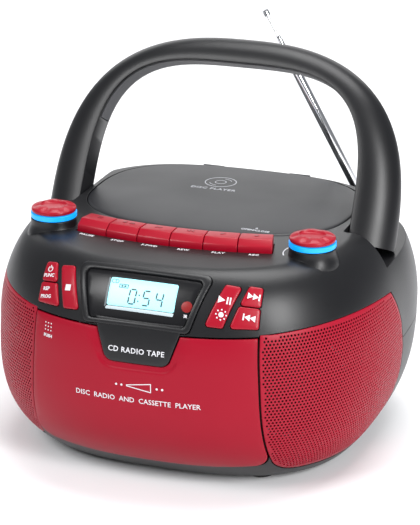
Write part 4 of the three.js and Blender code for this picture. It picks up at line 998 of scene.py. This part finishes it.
symbol += [poly(12, x, 72.2, 0.7) for x in (-12.4, -9.0, 13.2, 16.6)]
marks("door_symbol", symbol, on_front, 0.76, 0.90, "door", WHITE)
word("door_print", "DISC  RADIO  AND  CASSETTE  PLAYER", (0, 63.0), 4.5, on_front, 0.95, "door",
     WHITE, 1.0, 0.02)

# ---------------------------------------------------------------- lid and deck
LID_SKIN = [(1.8, -1.0), (1.8, -2.4), (0.3, -2.4), (0, -2.1), (0, -0.5), (0.25, -0.1), (0.8, 0.35),
            (1.6, 0.62), (3, 0.8), (6, 1.05), (11, 1.38), (18, 1.74), (27, 2.05), (37, 2.32), (48, 2.5),
            (57, 2.58), (62, 2.6)]
LID_IN, LID_RISE = zip(*LID_SKIN[5:])
BOSS = (0, 35)
SYMBOL = (-11, 58)


def lid_corner(d):
    """The lid's corner exponent at a distance in from its rim."""
    return LID_CORNER - 0.7 * max(0, d - 20) / 42


def lid_top(x, y, h):
    """The lid's upper skin, found between the rings that it is made of."""
    lo, hi = 0.0, LID_IN[-1]
    for _ in range(24):
        d = (lo + hi) / 2
        corner = lid_corner(d)
        if abs(x / (LID_X - d)) ** corner + abs((y - LID_AT[1]) / (LID_Y - d)) ** corner > 1:
            hi = d
        else:
            lo = d
    return Vector((x, y, TOP_Z + float(np.interp(lo, LID_IN, LID_RISE)) + h))


lid_bm = grid_bm([[(x, y, TOP_Z + rise) for x, y in oval(LID_X - d, LID_Y - d, lid_corner(d), *LID_AT, 180)]
                  for d, rise in LID_SKIN])
lid_bm = boolean(lid_bm, [join(rod_bm("z", 17, TOP_Z - 3, TOP_Z, BOSS, 64)),
                          cut(rod_bm("z", 4.2, TOP_Z - 4, TOP_Z - 0.6, BOSS, 32))])
for x in HINGES:
    lid_bm = boolean(lid_bm, [join(rod_bm("x", 1.5, x - 7, x + 7, (98.1, 137.4), 24)),
                              join(block_bm(x - 7, x + 7, 93.5, 98.1, 136.4, 138.4))])
lid = make("cd_lid_cover", lid_bm, "lid", GREY, 30)
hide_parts("cd_lid")
rings = [(10.4, 0.6, 0.0, 2 * pi, 48), (3.8, 0.5, 0.0, 2 * pi, 24), (7.4, 0.45, 0.5, 1.5, 10),
         (7.4, 0.45, 3.6, 4.6, 10)]
symbol = [shape for ring in rings for shape in hoop(*SYMBOL, *ring)]
marks("lid_symbol", symbol, lid_top, -0.3, 0.08, "lid", SILVER)
word("lid_word", "DISC PLAYER", (-11, 43.0), 4.8, lid_top, 0.10, "lid", SILVER, 1.1, 0.05)
marks("lid_open_mark", [poly(3, 39, -17.6, 1.1, pi / 2)], lid_top, -0.3, 0.10, "lid", SILVER)
word("lid_open_word", "OPEN/CLOSE", (39, -21.0), 3.1, lid_top, 0.12, "lid", SILVER, 1.0, 0.05)

# ---------------------------------------------------------------- tape keys
KEYS = {"pause": "PAUSE", "stop": "STOP", "forward": "F.FWD", "rewind": "REW", "play": "PLAY",
        "record": "REC"}
KEY_FRONT, KEY_AXIS = -61.0, (-42.5, 129)
MARK_Y = -50.5
KEY_MARKS = {
    "pause": [bar(-0.9, MARK_Y, 0.8, 3), bar(0.9, MARK_Y, 0.8, 3)],
    "stop": [bar(-2.6, MARK_Y, 2.4, 2.4), [(1.0, MARK_Y - 0.4), (4.4, MARK_Y - 0.4), (2.7, MARK_Y + 1.5)],
             bar(2.7, MARK_Y - 1.1, 3.4, 0.6)],
    "forward": [arrow(-1.2, MARK_Y, 2.2, 2.8), arrow(1.2, MARK_Y, 2.2, 2.8)],
    "rewind": [[(-2.4, MARK_Y), (-0.2, MARK_Y - 1.4), (-0.2, MARK_Y + 1.4)],
               [(0.0, MARK_Y), (2.2, MARK_Y - 1.4), (2.2, MARK_Y + 1.4)]],
    "play": [arrow(0, MARK_Y, 3.0, 3.0)], "record": [poly(20, 0, MARK_Y, 1.5)]}


def key_bm(turn):
    """A key cap with its arm and hub; the row is an arc, so the cap narrows towards the back."""
    front, back, half = KEY_FRONT, KEY_FRONT + KEY_D, (PITCH - 0.5) / 2
    side = [(front, 135), (back, 135), (back, KEY_TOP - 0.6), (back - 1.5, KEY_TOP), (front + 4.6, KEY_TOP),
            (front + 0.5, KEY_TOP - 3.4), (front, KEY_TOP - 5)]
    bm = prism_bm(side, -half, half, "x")
    for v in bm.verts:
        y = v.co.y / MM
        v.co.x *= 1 - (y - front) / ROW_R
    edges = [e for e in bm.edges if (e.verts[0].co.z + e.verts[1].co.z) / 2 > 0.1365]
    bmesh.ops.bevel(bm, geom=edges, offset=0.55 * MM, segments=3, profile=0.5, affect="EDGES",
                    clamp_overlap=True)
    place(bm, at(ROW_X, ROW_Y, 0) @ Matrix.Rotation(turn, 4, "Z") @ at(0, -ROW_Y, 0))
    x = ROW_X + (ROW_R - KEY_D / 2) * sin(turn)
    arm = [(back - 8, 137), (back - 8, 132), (-44.5, 127), (-40.5, 130), (back - 1, 137)]
    hub = boolean(rod_bm("x", 3, x - 5, x + 5, KEY_AXIS, 32), [join(prism_bm(arm, x - 2.5, x + 2.5, "x"))])
    return boolean(bm, [join(hub), cut(rod_bm("x", 1.8, x - 9, x + 9, KEY_AXIS, 24))])


def on_top(a, b, h):
    """A place on the sloping front of the housing, found straight down from above."""
    if front_y(a, TOP_Z - 0.01) < b:
        return Vector((a, b, TOP_Z + h))
    lo, hi = 100.0, TOP_Z
    for _ in range(30):
        mid = (lo + hi) / 2
        if front_y(a, mid) < b:
            lo = mid
        else:
            hi = mid
    return on_front(a, min(lo, 137.8), h)


for i, (label, text) in enumerate(KEYS.items()):
    turn = (i - 2.5) * PITCH / ROW_R
    c, s = cos(turn), sin(turn)

    def on_key(a, b, h, c=c, s=s):
        return Vector((ROW_X + a * c - (b - ROW_Y) * s, a * s + (b - ROW_Y) * c + ROW_Y, KEY_TOP + h))
    key = make(f"key_{label}_cap", key_bm(turn), f"key_{label}", KEYRED, 50)
    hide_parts(f"key_{label}")
    marks(f"key_{label}_mark", KEY_MARKS[label], on_key, -0.05, 0.22, f"key_{label}", RAISED)
    x, y = ROW_X + (ROW_R + 5.0) * s, ROW_Y - (ROW_R + 5.0) * c
    pts, faces = lettering(text, 0, 0, 3.3, 1.1, 0.06)
    c, s = cos(turn * 0.9), sin(turn * 0.9)
    pts = [(x + a * c - b * s, y + a * s + b * c) for a, b in pts]
    printed(f"key_word_{label}", [(pts, faces)], on_top, 0.10, "housing", WHITE)

# ---------------------------------------------------------------- knobs and their light rings
RING_LOW, RING_TOP, KNOB_Z = 144.1, 147.3, 147.6
KNOB_LINE = [(0, 0), (12.8, 0), (13.6, 0.25), (13.9, 0.8), (13.9, 1.7), (13.7, 2.2), (13.1, 2.7),
             (12.2, 3.1), (11.2, 3.5), (10.0, 3.85), (9.0, 4.05), (8.2, 4.15), (7.6, 4.1), (7.1, 3.7),
             (6.7, 3.1), (5.6, 2.75), (3.0, 2.65), (0, 2.6)]
RING_LINE = [(10, RING_LOW), (14.0, RING_LOW), (14.3, RING_LOW + 0.3), (14.3, RING_TOP - 0.3),
             (14.0, RING_TOP), (10, RING_TOP), (10, RING_LOW)]


def knob_wave(r, z, a):
    """Six soft dips around the rim, and an oval hollow in the middle."""
    if z < KNOB_Z + 1.5:
        return r, z
    lobe = 0.5 + 0.5 * cos(6 * a + 0.5)
    t = min(1.0, max(0.0, (r - 6.6) / 2.2)) * min(1.0, max(0.0, (13.6 - r) / 1.2))
    wide = 1.0 + (0.16 * cos(2 * a) if r < 8 else 0.0)
    return r * wide, z - 0.7 * (1 - lobe) ** 2 * t


for side, label, name in ((-1, "left", "tuning"), (1, "right", "volume")):
    spot = at(side * KNOB[0], KNOB[1], 0)
    bm = boolean(lathe_bm([(r, KNOB_Z + z) for r, z in KNOB_LINE], 120, knob_wave),
                 [join(rod_bm("z", 3, 125.8, KNOB_Z + 1, (0, 0), 32))])
    knob = make(f"{name}_knob_cap", place(bm, spot), name, KEYRED, 40)
    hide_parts(f"{name}_knob")
    ring_bm = grid_bm([circle(r, z, 96) for r, z in RING_LINE], False)
    piece = make(f"light_ring_{label}_band", place(ring_bm, spot), "housing", BLUE, 40)
    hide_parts(f"light_ring_{label}")

ticks = [[(KNOB[0] + r * cos(a), KNOB[1] + r * sin(a))
          for r, a in ((17.2, t), (17.9, t), (17.9, t + 0.09), (17.2, t + 0.09))]
         for t in np.arange(2.2, 3.6, 0.09)]
marks("volume_arc", ticks, on_top, -0.1, 0.1, "housing", WHITE)

# ---------------------------------------------------------------- handle
HANDLE_LEAN = radians(27)
LEG_LOW = -23.5


def arch(share, out):
    a = pi * share
    c, s = cos(a), sin(a)
    hx, rise, curve = (116.2, 120.0, 2.63) if out else (90.0, 102.0, 3.55)
    r = (abs(c / hx) ** curve + (max(s, 0) / rise) ** curve) ** (-1 / curve)
    return r * c, r * s - 10


def handle_frame(x, y, z):
    """From the handle's own frame, upright over its pivot, to the leaning one."""
    c, s = cos(HANDLE_LEAN), sin(HANDLE_LEAN)
    return x, PIVOT[0] + y * c + z * s, PIVOT[1] - y * s + z * c


def arch_bm(ring_at, steps=110):
    """The arch of the handle from leg to leg; ring_at gives (share outwards, y) for how high it is."""
    rings = []
    for i in range(steps + 1):
        share = 0.5 - 0.5 * cos(pi * i / steps)
        (ax, az), (bx, bz) = arch(share, False), arch(share, True)
        rings.append([(ax + (bx - ax) * t, y, az + (bz - az) * t) for t, y in ring_at(sin(pi * share))])
    ends = [[(x, y, LEG_LOW) for x, y, _ in rings[k]] for k in (0, -1)]
    return grid_bm([[handle_frame(*p) for p in ring] for ring in [ends[0], *rings, ends[1]]])


def shell_ring(slim):
    front, rear = 18 - 4.5 * slim, 12 - 2.5 * slim
    pts = [(0.0, -front + 0.9), (0.0, 2.4), (0.03, 3.4), (0.38, rear - 0.5)]
    for k in range(21):
        a = pi / 2 * (0.93 - 1.88 * k / 20)
        reach, low = (rear - 1, 0.42) if a > 0 else (front + 1, 0.0)
        pts.append((low + (1 - low) * cos(a), 1 + reach * sin(a)))
    return pts + [(0.02, -front + 0.15)]


def strip_ring(trim, depth, slim):
    front = 18 - 4.5 * slim - trim
    return [(-0.02, -front), (-0.02, 3 - trim), (depth, 3 - trim), (depth, -front)]


def above_lean(distance):
    """Everything further up the handle's own plane than a distance from the pivot."""
    out = [handle_frame(0, y, z)[1:] for y, z in ((-FAR, distance), (FAR, distance), (FAR, 300), (-FAR, 300))]
    return prism_bm(out, -FAR, FAR, "x")


def grip_bm(gap):
    strip = arch_bm(lambda s: strip_ring(2.2 + gap, 0.24 - gap / 20, s))
    return boolean(strip, [keep_in(above_lean(48 + gap))])


FOOT_R = PIVOT[1] - LEDGE_Z - 0.3


def foot_room():
    """An arc about the pivot, with the leg ahead of it and behind it."""
    slope = tan(HANDLE_LEAN)
    py, pz = PIVOT
    ty, tz = py - FOOT_R * sin(HANDLE_LEAN), pz - FOOT_R * cos(HANDLE_LEAN)
    ahead = [PIVOT, (py, 400), (-FAR, 400), (-FAR, tz + (ty + FAR) * slope), (ty, tz)]
    behind = [(py - 1, pz), (300, pz - (300 - py) * slope), (300, 400), (py - 1, 400)]
    return boolean(rod_bm("x", FOOT_R, -FAR, FAR, PIVOT, 96),
                   [join(prism_bm(line, -FAR, FAR, "x")) for line in (ahead, behind)])


handle_bm = boolean(arch_bm(shell_ring), [cut(grip_bm(0)), keep_in(foot_room()),
                                          cut(rod_bm("x", 4.3, 0, 103.6, PIVOT, 32), True)])
handle = make("handle_cover", handle_bm, "handle", BLACK, 34)
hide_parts("handle_shell")
grip = make("handle_grip_strip", grip_bm(0.3), "handle", GRIP, 34)
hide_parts("handle_grip")

# ---------------------------------------------------------------- antenna
MAST_LEAN = radians(29.4)
mast = at(*MAST) @ Matrix.Rotation(-MAST_LEAN, 4, "Y")
TUBES = [("antenna_tube_1", "antenna_mast", 3.3, 2.8, 5.5, 96),
         ("antenna_tube_2", "antenna_second", 2.5, 2.1, 19, 109),
         ("antenna_tube_3", "antenna_third", 1.8, 1.1, 34.7, 120.7),
         ("antenna_rod", "antenna_tip", 0.8, 0, 40, 136)]
for name, body, r, bore, low, top in TUBES:
    if bore:
        line = [(bore, low), (r - 0.25, low), (r, low + 0.3), (r, top - 2.6), (r - 0.35, top - 2.3),
                (r - 0.35, top - 0.5), (r - 0.6, top), (bore, top), (bore, low)]
        bm = grid_bm([circle(q, z, 40) for q, z in line], False)
    else:
        bm = lathe_bm([(0, low), (r, low + 0.2), (r, top - 1), (1.5, top - 1), (2.3, top - 0.4),
                       (2.3, top + 2.6), (2.0, top + 3.6), (1.2, top + 4), (0, top + 4)], 40)
    if name == "antenna_tube_1":
        floor = rod_bm("z", 3.0, low + 0.2, low + 3, (0, 0), 40)
        tang = boolean(block_bm(-3, 3, -1.7, 1.7, 0, low + 1), [join(rod_bm("y", 3, -1.7, 1.7, (0, 0), 40)),
                                                                cut(rod_bm("y", 1.5, -10, 10, (0, 0), 24))])
        bm = boolean(bm, [join(floor), join(tang)])
    piece = make(name + "_sleeve", place(bm, mast), body, CHROME, 40)
    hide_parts(name)

# ---------------------------------------------------------------- rear cover and feet
cover_bm = plate_bm(round_box(-COVER_X, COVER_X, COVER_LOW, COVER_HIGH, 4), on_rear, 0.0, -2.4, 0.6, 3.5)
cover = make("battery_cover", cover_bm, "battery_cover", BLACK, 40)
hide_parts("battery_door")
ribs = [bar(x, 55.5, 0.9, 4.6) for x in np.arange(-13.5, 14, 3)]
marks("battery_cover_grip", ribs, on_rear, -0.1, 0.5, "battery_cover", BLACK)
for name in ("foot_front_left", "foot_front_right", "foot_rear_left", "foot_rear_right"):
    lo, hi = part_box(name)
    x, y = (lo.x + hi.x) / 2 / MM, (lo.y + hi.y) / 2 / MM
    bm = lathe_bm([(0, 0), (7.4, 0), (8.1, 0.35), (8.5, 1.2), (8.95, 3.5), (8.9, 3.7), (0, 3.7)], 64)
    piece = make(name + "_pad", place(bm, at(x, y, 0)), "housing", RUBBER, 40)
    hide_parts(name)

# ---------------------------------------------------------------- carried-over frame pieces
FINISH = [(INNER, "front_chassis disc_clamp cd_spindle laser_sled cassette_carrier reel_spindle_left "
                  "reel_spindle_right battery_bay ac_inlet"),
          (STEEL, "tape_chassis capstan_flywheel head_plate tape_motor key_shaft handle_pivot_left "
                  "handle_pivot_right speaker_left speaker_right transformer"),
          (GREY, "cd_deck"), (PAPER, "speaker_cone_left speaker_cone_right"), (BOARD, "main_board"),
          (CHROME, "antenna_knuckle")]
for mat, names in FINISH:
    for name in names.split():
        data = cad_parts[name].data
        for k in range(max(1, len(data.materials))):
            if k < len(data.materials):
                data.materials[k] = mat
            else:
                data.materials.append(mat)
# ---------------------------------------------------------------- stage, lights, camera (m)
FLOOR_HALF = 6.0
WORLD_TINT, WORLD_POWER = (0.93, 0.95, 1.0, 1), 0.30
LIGHTS = [("key", (-0.9, -1.3, 1.5), (0, 0, 0.1), (0.9, 0.9), 26),
          ("fill", (1.5, -1.0, 1.0), (0, 0, 0.1), (0.5, 1.1), 40),
          ("top", (0.1, 0.4, 1.7), (0, 0, 0.1), (1.3, 0.9), 28),
          ("back", (-0.75, 2.1, 1.0), (0, 0, 0.2), (2.6, 1.3), 16)]
CAMERA_AT, CAMERA_TO = (0.4768, -1.3329, 0.6252), (0, 0.00613, 0.105)
LENS, SENSOR, CLIP = 163.8, 36, 0.05

bm = bmesh.new()
bmesh.ops.create_grid(bm, x_segments=2, y_segments=2, size=FLOOR_HALF)
floor_mesh = bpy.data.meshes.new("floor")
bm.to_mesh(floor_mesh)
bm.free()
floor = bpy.data.objects.new("floor", floor_mesh)
bpy.context.scene.collection.objects.link(floor)
floor_mesh.materials.append(plastic("floor", (0.86, 0.86, 0.87), 0.6, bump=0.0, vary=0.01, spec=0.2))
floor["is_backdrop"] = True

world = bpy.data.worlds.new("studio")
bpy.context.scene.world = world
world.use_nodes = True
world.node_tree.nodes["Background"].inputs["Color"].default_value = WORLD_TINT
world.node_tree.nodes["Background"].inputs["Strength"].default_value = WORLD_POWER


def aim(name, data, spot, target):
    obj = bpy.data.objects.new(name, data)
    obj.location = spot
    obj.rotation_euler = (Vector(target) - Vector(spot)).to_track_quat("-Z", "Y").to_euler()
    bpy.context.scene.collection.objects.link(obj)
    return obj


for name, spot, target, size, power in LIGHTS:
    data = bpy.data.lights.new(name, "AREA")
    data.shape, data.size, data.size_y = "RECTANGLE", size[0], size[1]
    data.energy = power
    aim(name, data, spot, target)

cam_data = bpy.data.cameras.new("camera")
cam_data.lens, cam_data.sensor_width, cam_data.clip_start = LENS, SENSOR, CLIP
bpy.context.scene.camera = aim("camera", cam_data, CAMERA_AT, CAMERA_TO)
bpy.context.scene.view_settings.view_transform = "Standard"

low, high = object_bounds()
